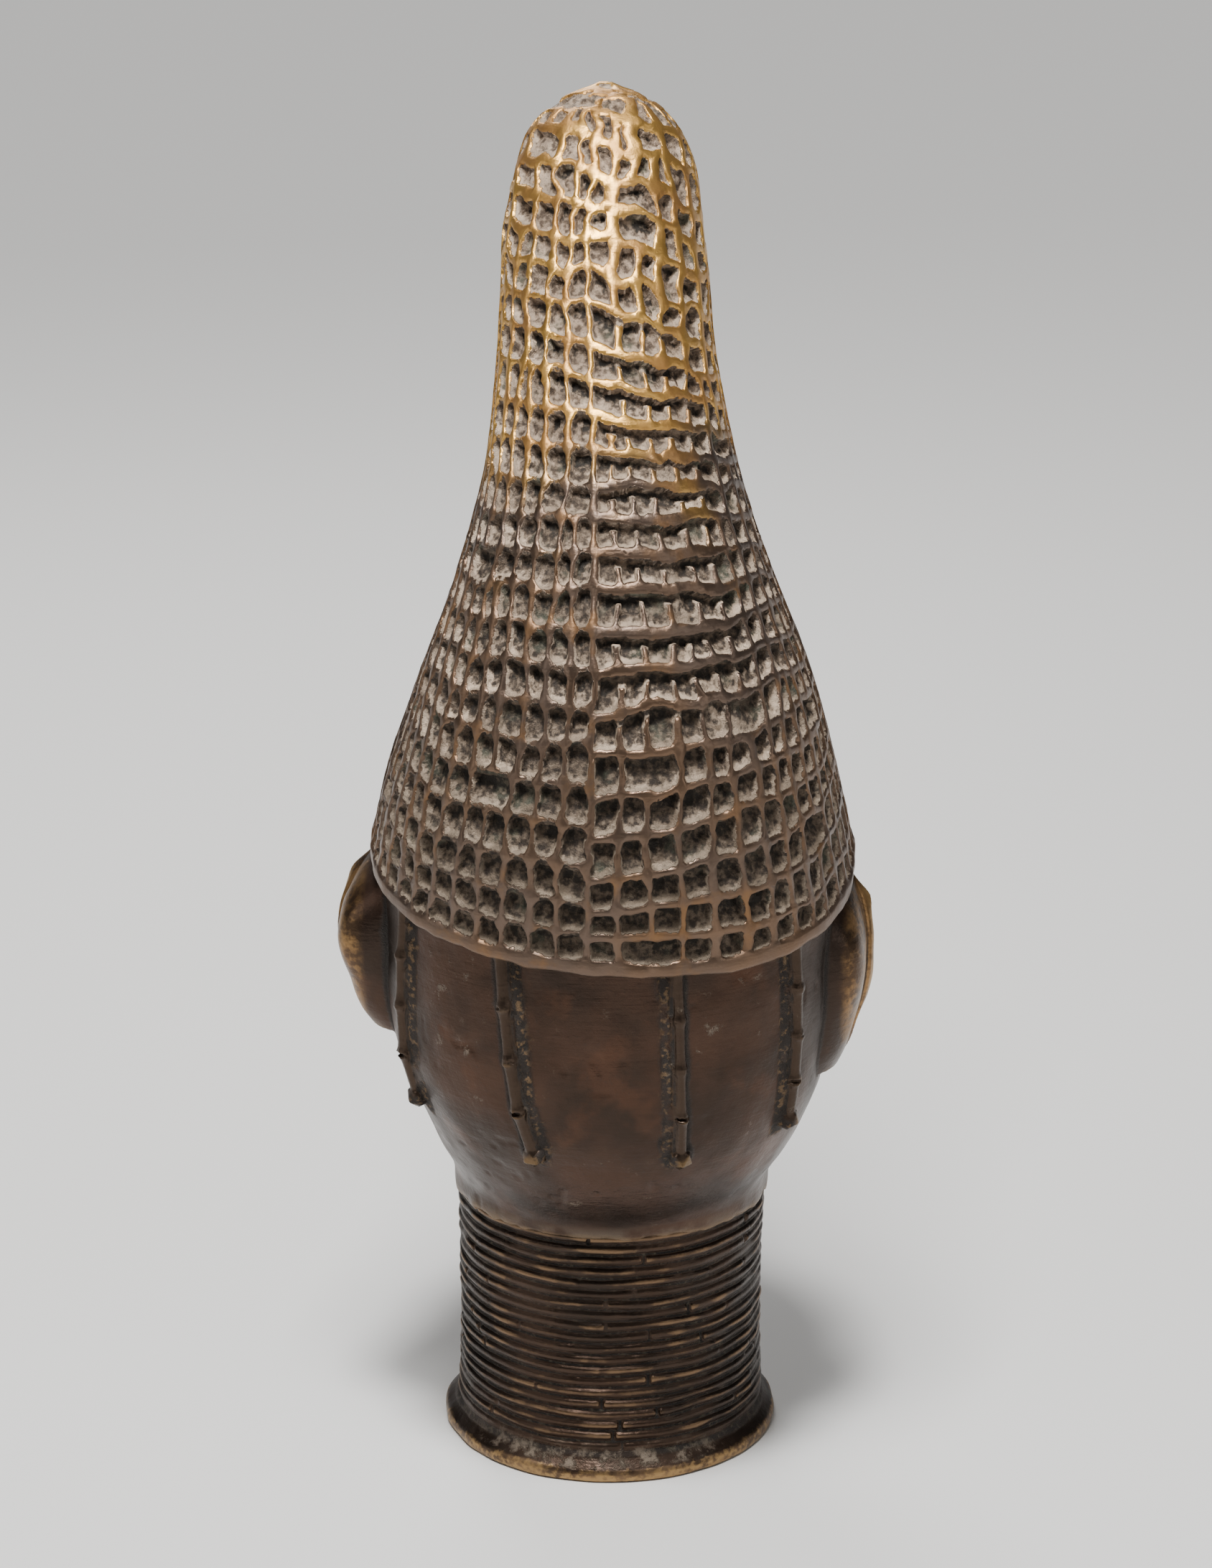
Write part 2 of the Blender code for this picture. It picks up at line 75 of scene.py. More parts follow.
# The real height comes from the frame, and everything grows with it
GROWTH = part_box("bronze_bust")[1].z / DESIGN_HEIGHT

# Collar rings, each a string of tube beads
RING_COUNT = 20
RING_LOWEST = 0.0095
BEADS_PER_RING = 7
BEAD_GAP = 0.0012

# Net of the cap: level lines of ribs, and the spacing of the upright ribs on each half of it
NET_ROWS = 26
NET_DEPTH = 0.0046
LEFT_SPACING = 0.0106
RIGHT_SPACING = 0.0118

# Ears. The one on the -X side sits lower and is narrower, with a longer lobe.
EAR_TOP = 0.2330
EAR_HEIGHT = 0.0650
EAR_WIDTH = 0.0340
LONG_EAR_TOP = 0.2280
LONG_EAR_HEIGHT = 0.0730
LONG_EAR_WIDTH = 0.0250
EAR_THICKNESS = 0.0078
EAR_FLARE_ANGLE = 24.0
EAR_FRONT_ANGLE = 98.0
EAR_BACK_ANGLE = 68.0

# Strings of tube beads: angle from the nape at the rim and at the foot, the foot's height, the bead's
# radius, and the half width of the rough strip beside the string
STRINGS = (
    (19.0, 14.5, 0.1435, 0.0027, 0.0040),
    (-19.0, -21.5, 0.1435, 0.0027, 0.0040),
    (52.5, 57.0, 0.1515, 0.0029, 0.0060),
    (-54.0, -58.0, 0.1475, 0.0029, 0.0056),
    (124.0, 122.0, 0.1455, 0.0029, 0.0040),
    (-124.0, -122.0, 0.1455, 0.0029, 0.0040),
)
# How far the strip under a string lies to the nape's side of it, in degrees
STRIP_SHIFT = 1.7
BEAD_LENGTH = 0.0190
END_BALL_RADIUS = 0.0050

# How finely the skins are drawn, melted together and thinned
NET_STEP = 0.00065
SKIN_STEP = 0.00075
MELT_STEP = 0.00062
CAP_TRIANGLES = 196000
HEAD_TRIANGLES = 150000
COLLAR_TRIANGLES = 130000

SECTION_POWER = 2.25
HEAD_STATIONS = (
    (0.00, 0.00, 0.000, -0.03, 0.000, 0.02, -0.030),
    (0.08, 0.10, 0.095, 0.12, 0.070, 0.52, -0.005),
    (0.17, 0.34, 0.200, 0.39, 0.170, 0.80, 0.055),
    (0.27, 0.54, 0.310, 0.62, 0.280, 0.89, 0.130),
    (0.38, 0.72, 0.425, 0.80, 0.400, 0.87, 0.235),
    (0.50, 0.85, 0.550, 0.92, 0.530, 0.88, 0.370),
    (0.62, 0.94, 0.670, 0.98, 0.660, 0.92, 0.525),
    (0.75, 0.98, 0.790, 1.00, 0.790, 0.97, 0.700),
    (0.88, 1.00, 0.900, 1.00, 0.900, 1.00, 0.860),
    (1.00, 1.00, 1.000, 0.99, 1.000, 1.00, 1.000),
)
CAP_STATIONS = (
    (0.000, 1.000, 1.000, 0.000, -1.000, 0.000),
    (0.070, 0.962, 1.026, 0.066, -0.985, 0.064),
    (0.135, 0.914, 1.030, 0.140, -0.935, 0.118),
    (0.268, 0.792, 0.940, 0.290, -0.845, 0.226),
    (0.401, 0.638, 0.738, 0.436, -0.770, 0.340),
    (0.541, 0.510, 0.470, 0.579, -0.750, 0.470),
    (0.677, 0.444, 0.195, 0.720, -0.790, 0.611),
    (0.808, 0.412, -0.090, 0.859, -0.880, 0.754),
    (0.907, 0.338, -0.330, 0.960, -0.930, 0.874),
    (0.960, 0.205, -0.480, 0.990, -0.890, 0.942),
    (1.000, 0.030, -0.600, 1.000, -0.640, 0.999),
)
SWAY_STATIONS = (
    (0.00, 0.0000),
    (0.19, -0.0006),
    (0.26, -0.0030),
    (0.34, -0.0014),
    (0.50, -0.0018),
    (0.60, -0.0031),
    (0.72, -0.0006),
    (0.82, 0.0040),
    (0.90, 0.0068),
    (1.00, 0.0080),
)
EAR_STATIONS = (
    (0.00, 0.58),
    (0.10, 0.70),
    (0.28, 0.82),
    (0.46, 0.97),
    (0.58, 1.00),
    (0.74, 0.90),
    (0.89, 0.60),
    (1.00, 0.20),
)


# Shaping tools


def smooth_between(stations, share):
    """Each column of the stations at every share, on a curve that passes through all stations."""
    table = np.array(stations, float)
    knots, values = table[:, 0], table[:, 1:]
    last = len(knots) - 1
    after = np.minimum(np.arange(last + 1) + 1, last)
    before = np.maximum(np.arange(last + 1) - 1, 0)
    slopes = (values[after] - values[before]) / (knots[after] - knots[before])[:, None]
    share = np.clip(share, knots[0], knots[-1])
    index = np.clip(np.searchsorted(knots, share, side="right") - 1, 0, last - 1)
    span = knots[index + 1] - knots[index]
    local = (share - knots[index]) / span
    column = (
        (2 * local**3 - 3 * local**2 + 1) * np.moveaxis(values[index], -1, 0)
        + (local**3 - 2 * local**2 + local) * span * np.moveaxis(slopes[index], -1, 0)
        + (3 * local**2 - 2 * local**3) * np.moveaxis(values[index + 1], -1, 0)
        + (local**3 - local**2) * span * np.moveaxis(slopes[index + 1], -1, 0)
    )
    return column


def rounded(value, power=SECTION_POWER):
    """A sine or cosine made fuller, so that an ellipse gets fuller corners."""
    return np.sign(value) * np.abs(value) ** (2 / power)


def ramp(low, high, value):
    """0 below low, 1 above high, and smooth between."""
    local = np.clip((value - low) / (high - low), 0, 1)
    return local * local * (3 - 2 * local)


def bell(value, centre, width):
    """A soft round swelling of height 1."""
    return np.exp(-(((value - centre) / width) ** 2))


def soft_noise(points, size, seed):
    """Smooth noise from -1 to 1 at points in metres, with lumps about as wide as size."""
    cells = 32
    table = np.random.default_rng(seed).uniform(-1, 1, (cells, cells, cells))
    place = points / size
    corner = np.floor(place).astype(int)
    local = place - corner
    local = local * local * (3 - 2 * local)
    total = np.zeros(points.shape[:-1])
    for step in np.ndindex(2, 2, 2):
        pick = (corner + step) % cells
        weight = np.prod(np.where(np.array(step) == 1, local, 1 - local), axis=-1)
        total += weight * table[pick[..., 0], pick[..., 1], pick[..., 2]]
    return total


def swayed(points):
    """The points moved by the casting's sideways sway."""
    moved = np.array(points, float)
    moved[..., 0] += smooth_between(SWAY_STATIONS, moved[..., 2] / DESIGN_HEIGHT)[0]
    return moved


def grid_normals(points):
    """The outward direction at each point of a grid of rings, which run anticlockwise from above."""
    along = np.roll(points, -1, axis=1) - np.roll(points, 1, axis=1)
    up = np.gradient(points, axis=0)
    normal = np.cross(along, up)
    return normal / np.maximum(np.linalg.norm(normal, axis=-1, keepdims=True), 1e-9)


def mesh_object(name, points, faces):
    """A mesh object from an array of points and a list of faces."""
    mesh = bpy.data.meshes.new(name)
    mesh.from_pydata(points, [], faces)
    thing = bpy.data.objects.new(name, mesh)
    bpy.context.scene.collection.objects.link(thing)
    return thing


def closed_skin(name, rings, stored=None):
    """A closed skin through rings of equally many points, with a flat fan over both ends.

    stored holds arrays with a number for each of the points, by the name of their attribute.
    """
    rows, columns = rings.shape[:2]
    ends = np.array([rings[0].mean(axis=0), rings[-1].mean(axis=0)])
    points = np.concatenate([rings.reshape(-1, 3), ends])
    index = np.arange(rows * columns).reshape(rows, columns)
    following = np.roll(index, -1, axis=1)
    quads = np.stack([index[:-1], following[:-1], following[1:], index[1:]], axis=-1).reshape(-1, 4)
    bottom, top = rows * columns, rows * columns + 1
    faces = quads.tolist()
    faces += [(bottom, b, a) for a, b in zip(index[0].tolist(), following[0].tolist())]
    faces += [(top, a, b) for a, b in zip(index[-1].tolist(), following[-1].tolist())]
    skin = mesh_object(name, points.tolist(), faces)
    for label, values in (stored or {}).items():
        store(skin.data, label, np.append(values, (values[0].mean(), values[-1].mean())))
    return skin


def store(mesh, name, values):
    """Stores one number for each vertex as a named attribute."""
    stored = mesh.attributes.new(name, "FLOAT", "POINT")
    stored.data.foreach_set("value", np.asarray(values, np.float32))


# Head and face


def head_surface(turn, share):
    """Points of the plain head. turn is in radians from the nape towards +X, share runs up the head."""
    side, side_up, back, back_up, front, front_up = smooth_between(HEAD_STATIONS, share)
    behind = np.cos(turn)
    is_back = behind > 0
    swell = np.where(is_back, back, front)
    swell_up = np.where(is_back, back_up, front_up)
    depth = COLLAR_RADIUS + (np.where(is_back, HEAD_BACK, HEAD_FRONT) - COLLAR_RADIUS) * swell
    width = COLLAR_RADIUS + (HEAD_HALF_WIDTH - COLLAR_RADIUS) * side
    power = 2 + (SECTION_POWER - 2) * np.minimum(2 * share, 1)
    height = COLLAR_HEIGHT + HEAD_HEIGHT * (side_up + (swell_up - side_up) * behind**2)
    return np.stack([width * rounded(np.sin(turn), power), depth * rounded(behind, power), height], axis=-1)


def head_skin(turn, height):
    """One point of the plain head at a height on the meridian at turn radians."""
    shares = np.linspace(0, 1, 400)
    meridian = head_surface(np.full(shares.shape, turn), shares)
    point = head_surface(np.array(turn), np.interp(height, meridian[:, 2], shares))
    point[2] = height
    return point


def rim_level(points):
    """Height of the plane of the rim's lower edge above or below the points."""
    reach = (HEAD_BACK + HEAD_FRONT) / 2 + CAP_PROUD
    lean = RIM_LEAN * points[..., 0] / (HEAD_HALF_WIDTH + CAP_PROUD)
    return RIM_SIDE_HEIGHT + lean - RIM_TILT * (points[..., 1] - (HEAD_BACK - HEAD_FRONT) / 2) / reach


def nose(across, up):
    """Bridge, tip and wings of the nose, in shares of the face's height."""
    down = ramp(0.68, 0.39, up)
    ridge = 0.028 + 0.108 * down**1.25
    width = 0.054 + 0.032 * down
    base = ramp(0.332, 0.376, up + 0.10 * across)
    bridge = ramp(0.78, 0.60, up) * ridge * np.exp(-(np.abs(across / width) ** 2.2))
    tip = 0.016 * bell(across, 0, 0.060) * bell(up, 0.398, 0.040)
    wing = 0.082 * np.exp(-(((across - 0.106) / 0.050) ** 2 + ((up - 0.388) / 0.044) ** 2) ** 1.25)
    nostril = 0.040 * bell(across, 0.062, 0.026) * bell(up, 0.338, 0.016)
    return base * (bridge + tip) + wing * ramp(0.33, 0.360, up) - nostril


def mouth(across, up):
    """Closed calm lips on a low muzzle, with the groove above them and the crease under them."""
    share = np.clip(across / 0.235, 0, 1)
    taper = 1 - share**2
    parting = 0.243 + 0.010 * share**2 - 0.004 * bell(across, 0, 0.03)
    upper = 0.012 + 0.044 * taper**0.8 * (1 - 0.16 * bell(across, 0, 0.028))
    lower = 0.014 + 0.050 * taper**0.7
    above, below = (up - parting) / upper, (parting - up) / lower
    upper_lip = 0.048 * np.sqrt(taper) * np.where(above > 0, np.clip(1 - above**2, 0, 1), 0)
    roll = np.clip(1 - ((below - 0.3) / 0.7) ** 2, 0, 1)
    lower_lip = 0.054 * np.sqrt(taper) * np.where(below >= 0, roll, 0)
    seam = 0.030 * taper**0.3 * bell(up, parting, 0.0085)
    muzzle = 0.048 * np.exp(-((across / 0.27) ** 2) - ((up - 0.25) / 0.14) ** 2)
    groove = 0.012 * bell(across, 0, 0.024) * bell(up, 0.318, 0.022)
    crease = 0.018 * bell(across, 0, 0.14) * bell(up, 0.158, 0.024)
    corner = 0.012 * bell(across, 0.245, 0.030) * bell(up, 0.252, 0.030)
    return upper_lip + lower_lip + muzzle - seam - groove - crease - corner


def eye(across, up):
    """A blank almond eye between raised lids, in a shallow socket under the brow."""
    half_width = 0.148
    x = (across - 0.285) / half_width
    y = up - 0.570 - 0.010 * x
    half_height = np.where(y > 0, 0.062, 0.048)
    level = x**2 + np.abs(y) / half_height
    slope = np.sqrt((2 * x / half_width) ** 2 + (1 / half_height) ** 2)
    away = (level - 1) / slope
    socket = 0.050 * bell(across, 0.27, 0.19) * bell(up, 0.575, 0.110)
    corner = 0.016 * bell(across, 0.10, 0.060) * bell(up, 0.575, 0.060)
    ball = 0.066 * np.sqrt(np.clip(1 - (x / 1.18) ** 2 - (y / 0.105) ** 2, 0, 1)) * ramp(0.034, -0.006, away)
    lids = 0.017 * bell(away, 0.014, 0.018)
    fold = 0.008 * bell(away, 0.050, 0.012) * ramp(0.0, 0.03, y)
    return ball + lids - fold - socket - corner


def brow(across, up):
    """The brow's soft ridge over the eye."""
    arch = 0.668 + 0.040 * np.sin(np.pi * np.clip((across - 0.06) / 0.52, 0, 1))
    return 0.026 * bell(up, arch, 0.040) * ramp(0.02, 0.12, across) * ramp(0.62, 0.46, across)


def face_relief(across, up):
    """How far the face stands out from the plain head. All lengths are shares of the face's height."""
    across = np.abs(across)
    chin = 0.048 * bell(across, 0, 0.21) * bell(up, 0.085, 0.085)
    cheek = 0.036 * bell(across, 0.40, 0.18) * bell(up, 0.42, 0.15)
    fold = 0.009 * bell(across - 0.55 * (0.36 - up), 0.175, 0.034) * bell(up, 0.30, 0.085)
    return nose(across, up) + mouth(across, up) + eye(across, up) + brow(across, up) + chin + cheek - fold


def head():
    """The head from inside the collar to inside the cap, with the face in front."""
    under_cap = 0.2
    rows = round(HEAD_HEIGHT * 1.35 / SKIN_STEP)
    turns = -np.linspace(0, math.tau, round(math.tau * HEAD_BACK / SKIN_STEP), endpoint=False)
    share, turn = np.meshgrid(np.linspace(0, 1 + under_cap, rows), turns, indexing="ij")
    points = head_surface(turn, share)
    top = rim_level(points) + 0.7 * RIM_HEIGHT
    points[..., 2] += np.clip(share - 1, 0, None) / under_cap * (top - points[..., 2])
    outward = points * (1, 1, 0)
    outward /= np.linalg.norm(outward, axis=-1, keepdims=True)
    up = (points[..., 2] - COLLAR_HEIGHT) / FACE_HEIGHT
    relief = face_relief(points[..., 0] / FACE_HEIGHT, up) * FACE_HEIGHT
    relief *= ramp(0.03, 0.10, share) * ramp(0.0, 0.3, -outward[..., 1])
    hammered = 0.00045 * soft_noise(points, 0.017, 1) + 0.00018 * soft_noise(points, 0.006, 2)
    lip = 0.0011 * ramp(0.055, 0.0, share) * (1 + 0.5 * soft_noise(points, 0.012, 3))
    pocked = ramp(-0.1, 0.5, soft_noise(points, 0.026, 10))
    pocks = 0.0004 * ramp(0.35, 0.8, soft_noise(points, 0.0042, 9)) * pocked
    points = points + outward * (relief + hammered + lip - pocks)[..., None]
    ragged = soft_noise(points, 0.009, 4) + 0.6 * soft_noise(points, 0.004, 12)
    points[..., 2] += ramp(0.06, 0.0, share) * (0.0013 * ragged - 0.0008)
    seat = points[:1] * (0.90, 0.90, 1) - (0, 0, 0.001)
    crown = points[-1:] * (0.97, 0.97, 1) + (0, 0, 0.001)
    return closed_skin("head", swayed(np.concatenate([seat, points, crown])))


# Netted cap


def cap_surface(turn, share):
    """Points of the cap's outer surface, on sections that tip forward as the cap rises."""
    width, back, back_up, front, front_up = smooth_between(CAP_STATIONS, share)
    rim_back, rim_front = HEAD_BACK + CAP_PROUD, HEAD_FRONT + CAP_PROUD
    behind_y = back * np.where(back > 0, rim_back, rim_front)
    ahead_y = front * rim_front
    behind_z, ahead_z = back_up * CAP_HEIGHT, front_up * CAP_HEIGHT
    aside, along = rounded(np.sin(turn)), rounded(np.cos(turn))
    tilt = (RIM_TILT * along - RIM_LEAN * aside) * ramp(TILT_END, 0.0, share)
    return np.stack([
        width * (HEAD_HALF_WIDTH + CAP_PROUD) * aside,
        (behind_y + ahead_y) / 2 + (behind_y - ahead_y) / 2 * along,
        RIM_TOP + (behind_z + ahead_z) / 2 + (behind_z - ahead_z) / 2 * along - tilt,
    ], axis=-1)


def level_lines(turn):
    """Share up the cap of each level rib at every angle.

    On the -X half the lower lines climb away from the seam, and near the peak all climb to the +X side.
    """
    number = np.arange(NET_ROWS + 1)
    even = number / NET_ROWS
    lines = even * (1.06 - 0.06 * even)
    pitch = np.gradient(lines)
    degrees = np.degrees(np.abs(turn))
    climb = 1 - np.exp(-degrees / 26) - 0.5
    climb *= ramp(174, 120, degrees)
    near_peak = 0.80 * ramp(12, 17, number)[:, None] * np.sin(turn)[None, :]
    on_right = (0.60 * ramp(11, 4, number) + 0.10)[:, None] * (climb * (turn < 0))[None, :]
    fade = ramp(0, 3, number) * ramp(NET_ROWS, NET_ROWS - 3, number)
    ring = np.stack([np.cos(turn), np.sin(turn)], axis=-1) * 0.085
    wobble = np.zeros((NET_ROWS + 1, len(turn)))
    for line in number[1:]:
        height = np.full((len(turn), 1), line * 0.0137)
        place = np.concatenate([ring, height], axis=1)
        loose = 0.15 + 0.12 * ramp(13, 20, line)
        wobble[line] = loose * soft_noise(place, 0.020, 11) + 0.05 * soft_noise(place, 0.008, 13)
    return lines[:, None] + pitch[:, None] * (fade[:, None] * (near_peak + on_right) + wobble)


def upright_ribs(girths, spacing, seed):
    """Places of the upright ribs of one half at each level line, as shares of the half's girth.

    Ribs end on a level line where the cap gets too narrow for them, and less often close to the seam. A
    place of -1 means that the rib has ended.
    """
    chance = np.random.default_rng(seed)
    count = round(girths[0] / spacing)
    places = np.linspace(0, 1, count + 1)
    places[1:-1] += chance.uniform(-0.16, 0.16, count - 1) / count
    alive = np.ones(count + 1, bool)
    rows = []
    for girth in girths:
        wanted = max(round(girth / spacing), 4)
        while alive.sum() > wanted + 1:
            living = np.flatnonzero(alive)
            room = places[living[2:]] - places[living[:-2]]
            room = room * chance.uniform(0.9, 1.1, len(room))
            room = room * (1 + 0.5 * bell(places[living[1:-1]], 0, 0.25))
            alive[living[1 + int(np.argmin(room))]] = False
        living = np.flatnonzero(alive)
        middle = (places[living[2:]] + places[living[:-2]]) / 2
        places[living[1:-1]] += 0.45 * (middle - places[living[1:-1]])
        places[living[1:-1]] += chance.uniform(-0.07, 0.07, len(middle)) / len(middle)
        rows.append(np.where(alive, places, -1.0))
    return np.array(rows)


def rib_profile(away, width, shoulder):
    """1 on the flat top of a rib, and down to 0 across its shoulder."""
    return ramp(width / 2 + shoulder, width / 2 - 0.0002, away)


def half_net(side, points, band, within, line_gap, arc, girth):
    """How deep each point of one half of the cap lies, from 0, a rib's top, to 1, the deepest of a pit.

    A pit is deepest under the level rib above it, and its floor comes forward to the rib below it.
    """
    spacing = LEFT_SPACING if side > 0 else RIGHT_SPACING
    ribs = upright_ribs(girth, spacing, 21 if side > 0 else 22)
    chance = np.random.default_rng(31 if side > 0 else 32)
    stout = chance.uniform(0.75, 1.30, ribs.shape)
    kept = chance.uniform(0, 1, ribs.shape) > (0.02 if side > 0 else 0.05)
    deep = chance.uniform(0.82, 1.0, ribs.shape)
    uneven = 1 + 0.30 * soft_noise(points, 0.011, 41) + 0.22 * soft_noise(points, 0.0035, 42)
    pits = np.zeros(band.shape)
    for row in range(NET_ROWS):
        here = np.flatnonzero(band == row)
        if not len(here):
            continue
        low = ribs[row]
        living = np.flatnonzero((low >= 0) & (kept[row] | (np.arange(len(low)) == 0)))
        goes_on = ribs[row + 1][living] >= 0
        high = np.where(goes_on, ribs[row + 1][living], low[living])
        up = within[here]
        rise = up * up * (3 - 2 * up)
        place = low[living][None, :] + (high - low[living])[None, :] * rise[:, None]
        half_girth = girth[row] + (girth[row + 1] - girth[row]) * up
        away = np.abs(arc[here][:, None] - place * half_girth[:, None])
        nearest = np.argmin(away, axis=1)
        away = away[np.arange(len(here)), nearest]
        rib = living[nearest]
        below, above = up * line_gap[here], (1 - up) * line_gap[here]
        crossing = np.minimum(below, above)
        broad = 1 + 0.55 * ramp(16, 22, row)
        if side > 0:
            knot = 0.0026 * np.clip(1 - crossing / 0.0034, 0, 1)
            width = (0.0017 * stout[row, rib] + knot) * uneven[here] * broad
            upright = rib_profile(away, width, 0.0007)
            level_width = 0.0023 * broad
            level_height = 0.72 + 0.24 * ramp(13, 19, row)
        else:
            bricks = ramp(5, 8, row) * ramp(18, 15, row) * ramp(0.30, 0.20, arc[here] / half_girth)
            seam = rib == 0
            knot = 0.0020 * np.clip(1 - crossing / 0.0036, 0, 1)
            seam_width = 0.0030 - 0.0014 * ramp(11, 16, row)
            width = np.where(seam, seam_width, 0.0022 * stout[row, rib] + knot) * (1 - 0.15 * bricks * ~seam)
            upright = rib_profile(away, width * uneven[here] * broad, 0.0007)
            stub = ramp(0.0036, 0.0052, above)
            upright *= np.where(seam, 1, 1 - bricks * (0.10 + 0.90 * (1 - stub)))
            level_width = (0.0025 + 0.0012 * bricks) * broad
            level_height = 0.95
        wide = level_width * uneven[here]
        level = level_height * np.maximum(rib_profile(below, wide, 0.0016), rib_profile(above, wide, 0.0006))
        scoop = (0.50 + 0.50 * ramp(0.05, 0.75, up)) * deep[row, rib]
        pits[here] = (1 - upright) * (1 - level) * scoop
    return pits


def net_pits(points, turn, share):
    """How deep each point of the cap lies, from 0, a rib's top, to 1, the deepest of a pit."""
    rows, columns = share.shape
    lines = level_lines(turn[0])
    step = np.linalg.norm(np.gradient(points, axis=0), axis=-1) / np.gradient(share, axis=0)
    loose = 1 + 1.4 * ramp(0.55, 0.80, share)
    ragged = 0.0004 * soft_noise(points, 0.0026, 14) + 0.0002 * soft_noise(points, 0.0014, 15)
    wander = 0.0010 * soft_noise(points, 0.013, 5) + 0.0006 * soft_noise(points, 0.005, 6)
    wander = loose * wander + ragged
    drift = 0.0008 * soft_noise(points, 0.012, 7) + 0.0006 * soft_noise(points, 0.005, 8)
    moved = share + (loose * drift + ragged) / step
    band = (moved[None] >= lines[:, None, :]).sum(axis=0) - 1
    band = np.clip(band, 0, NET_ROWS - 1)
    column = np.broadcast_to(np.arange(columns), share.shape)
    floor, ceiling = lines[band, column], lines[band + 1, column]
    within = np.clip((moved - floor) / (ceiling - floor), 0, 1)
    line_gap = (ceiling - floor) * step
    line_row = np.clip(np.searchsorted(share[:, 0], lines.mean(axis=1)), 0, rows - 1)
    pits = np.zeros(share.shape)
    half = columns // 2
    for side in (1, -1):
        pick = np.arange(0, half + 1) if side > 0 else np.r_[0, np.arange(columns - 1, half - 1, -1)]
        strip = points[:, pick]
        steps = np.linalg.norm(np.diff(strip, axis=1), axis=-1)
        arc = np.concatenate([np.zeros((rows, 1)), np.cumsum(steps, axis=1)], axis=1)
        girth = arc[line_row, -1]
        near = half_net(
            side,
            strip.reshape(-1, 3),
            band[:, pick].ravel(),
            within[:, pick].ravel(),
            line_gap[:, pick].ravel(),
            (arc + side * wander[:, pick]).ravel(),
            girth,
        )
        pits[:, pick] = near.reshape(strip.shape[:2])
    return pits


def netted_cap():
    """The cap: a rolled rim, then pits between the ribs of the net, up to a rough worn crown."""
    rows = round(1.12 * CAP_HEIGHT / NET_STEP)
    columns = 2 * round(math.pi * HEAD_BACK / NET_STEP)
    turns = np.linspace(0, math.tau, columns, endpoint=False)
    share, turn = np.meshgrid(np.linspace(0, 1, rows), turns, indexing="ij")
    signed = np.where(turn > math.pi, turn - math.tau, turn)
    points = cap_surface(signed, share)
    normal = -grid_normals(points)
    pit = net_pits(points, signed, share)
    filled = ramp(0.66, 0.90, share) * (0.12 + 0.75 * soft_noise(points, 0.011, 51))
    peak = ramp(0.90, 0.97, share)
    crown = ramp(0.925, 0.975, share) * (0.85 + 0.45 * soft_noise(points, 0.008, 58))
    pit *= 1 - np.clip(np.maximum(filled, crown), 0, 1)
    pit *= ramp(0.0005, 0.0060, share)
    flash = ramp(0.0, 0.5, soft_noise(points, 0.014, 57)) * bell(np.degrees(signed), -34, 12)
    flash *= ramp(0.14, 0.24, share) * ramp(0.66, 0.50, share)
    pit *= 1 - 0.5 * flash
    grit = 0.00060 * soft_noise(points, 0.0032, 52) + 0.00045 * soft_noise(points, 0.0016, 53)
    grit *= ramp(0.02, 0.35, pit)
    dents = 0.00030 + 0.00045 * ramp(0.60, 0.85, share)
    filed = (1 - pit) * (0.00015 * soft_noise(points, 0.004, 54) + dents * soft_noise(points, 0.016, 55))
    scales = soft_noise(points, 0.0060, 62) + 0.5 * soft_noise(points, 0.0025, 63)
    scales = ramp(-0.1, 0.5, scales) * peak
    spikes = 0.0009 * flash * soft_noise(points, 0.0022, 60)
    points = points + normal * (grit + filed + spikes - 0.0012 * scales - NET_DEPTH * pit)[..., None]
    edge = points[0]
    outward = edge * (1, 1, 0) / np.linalg.norm(edge[:, :2], axis=-1)[:, None]
    swell = 0.0006 + 0.0005 * soft_noise(edge, 0.008, 59)
    points = points + (swell * ramp(0.010, 0.0, share))[..., None] * outward
    spin = np.linspace(0, math.pi / 2, 6)[:, None, None]
    ragged = (0.0013 * soft_noise(edge, 0.010, 56) + 0.0006 * soft_noise(edge, 0.0045, 64))[:, None]
    lower = points[:1] - np.array((0, 0, 1.0)) * (RIM_HEIGHT + ragged[None])
    roll = lower + 0.0022 * (np.sin(spin) - 1) * outward[None]
    roll = roll + 0.0022 * (1 - np.cos(spin)) * np.array((0, 0, 1.0))
    inner = roll[:1] - 0.012 * outward[None]
    rings = np.concatenate([inner, roll, points])
    span = round(0.0010 / NET_STEP)
    ledge = np.zeros(pit.shape)
    ledge[span:-span] = (pit[2 * span :] - pit[: -2 * span]) * NET_DEPTH / (2 * span * NET_STEP)
    height = np.concatenate([np.ones((7, columns)), (1 - pit) * (1 - 0.35 * scales)])
    ledge = np.concatenate([np.zeros((7, columns)), ledge])
    stored = {"net": height[:, ::-1], "ledge": ledge[:, ::-1]}
    return closed_skin("netted_cap", swayed(rings[:, ::-1]), stored)


# Ears


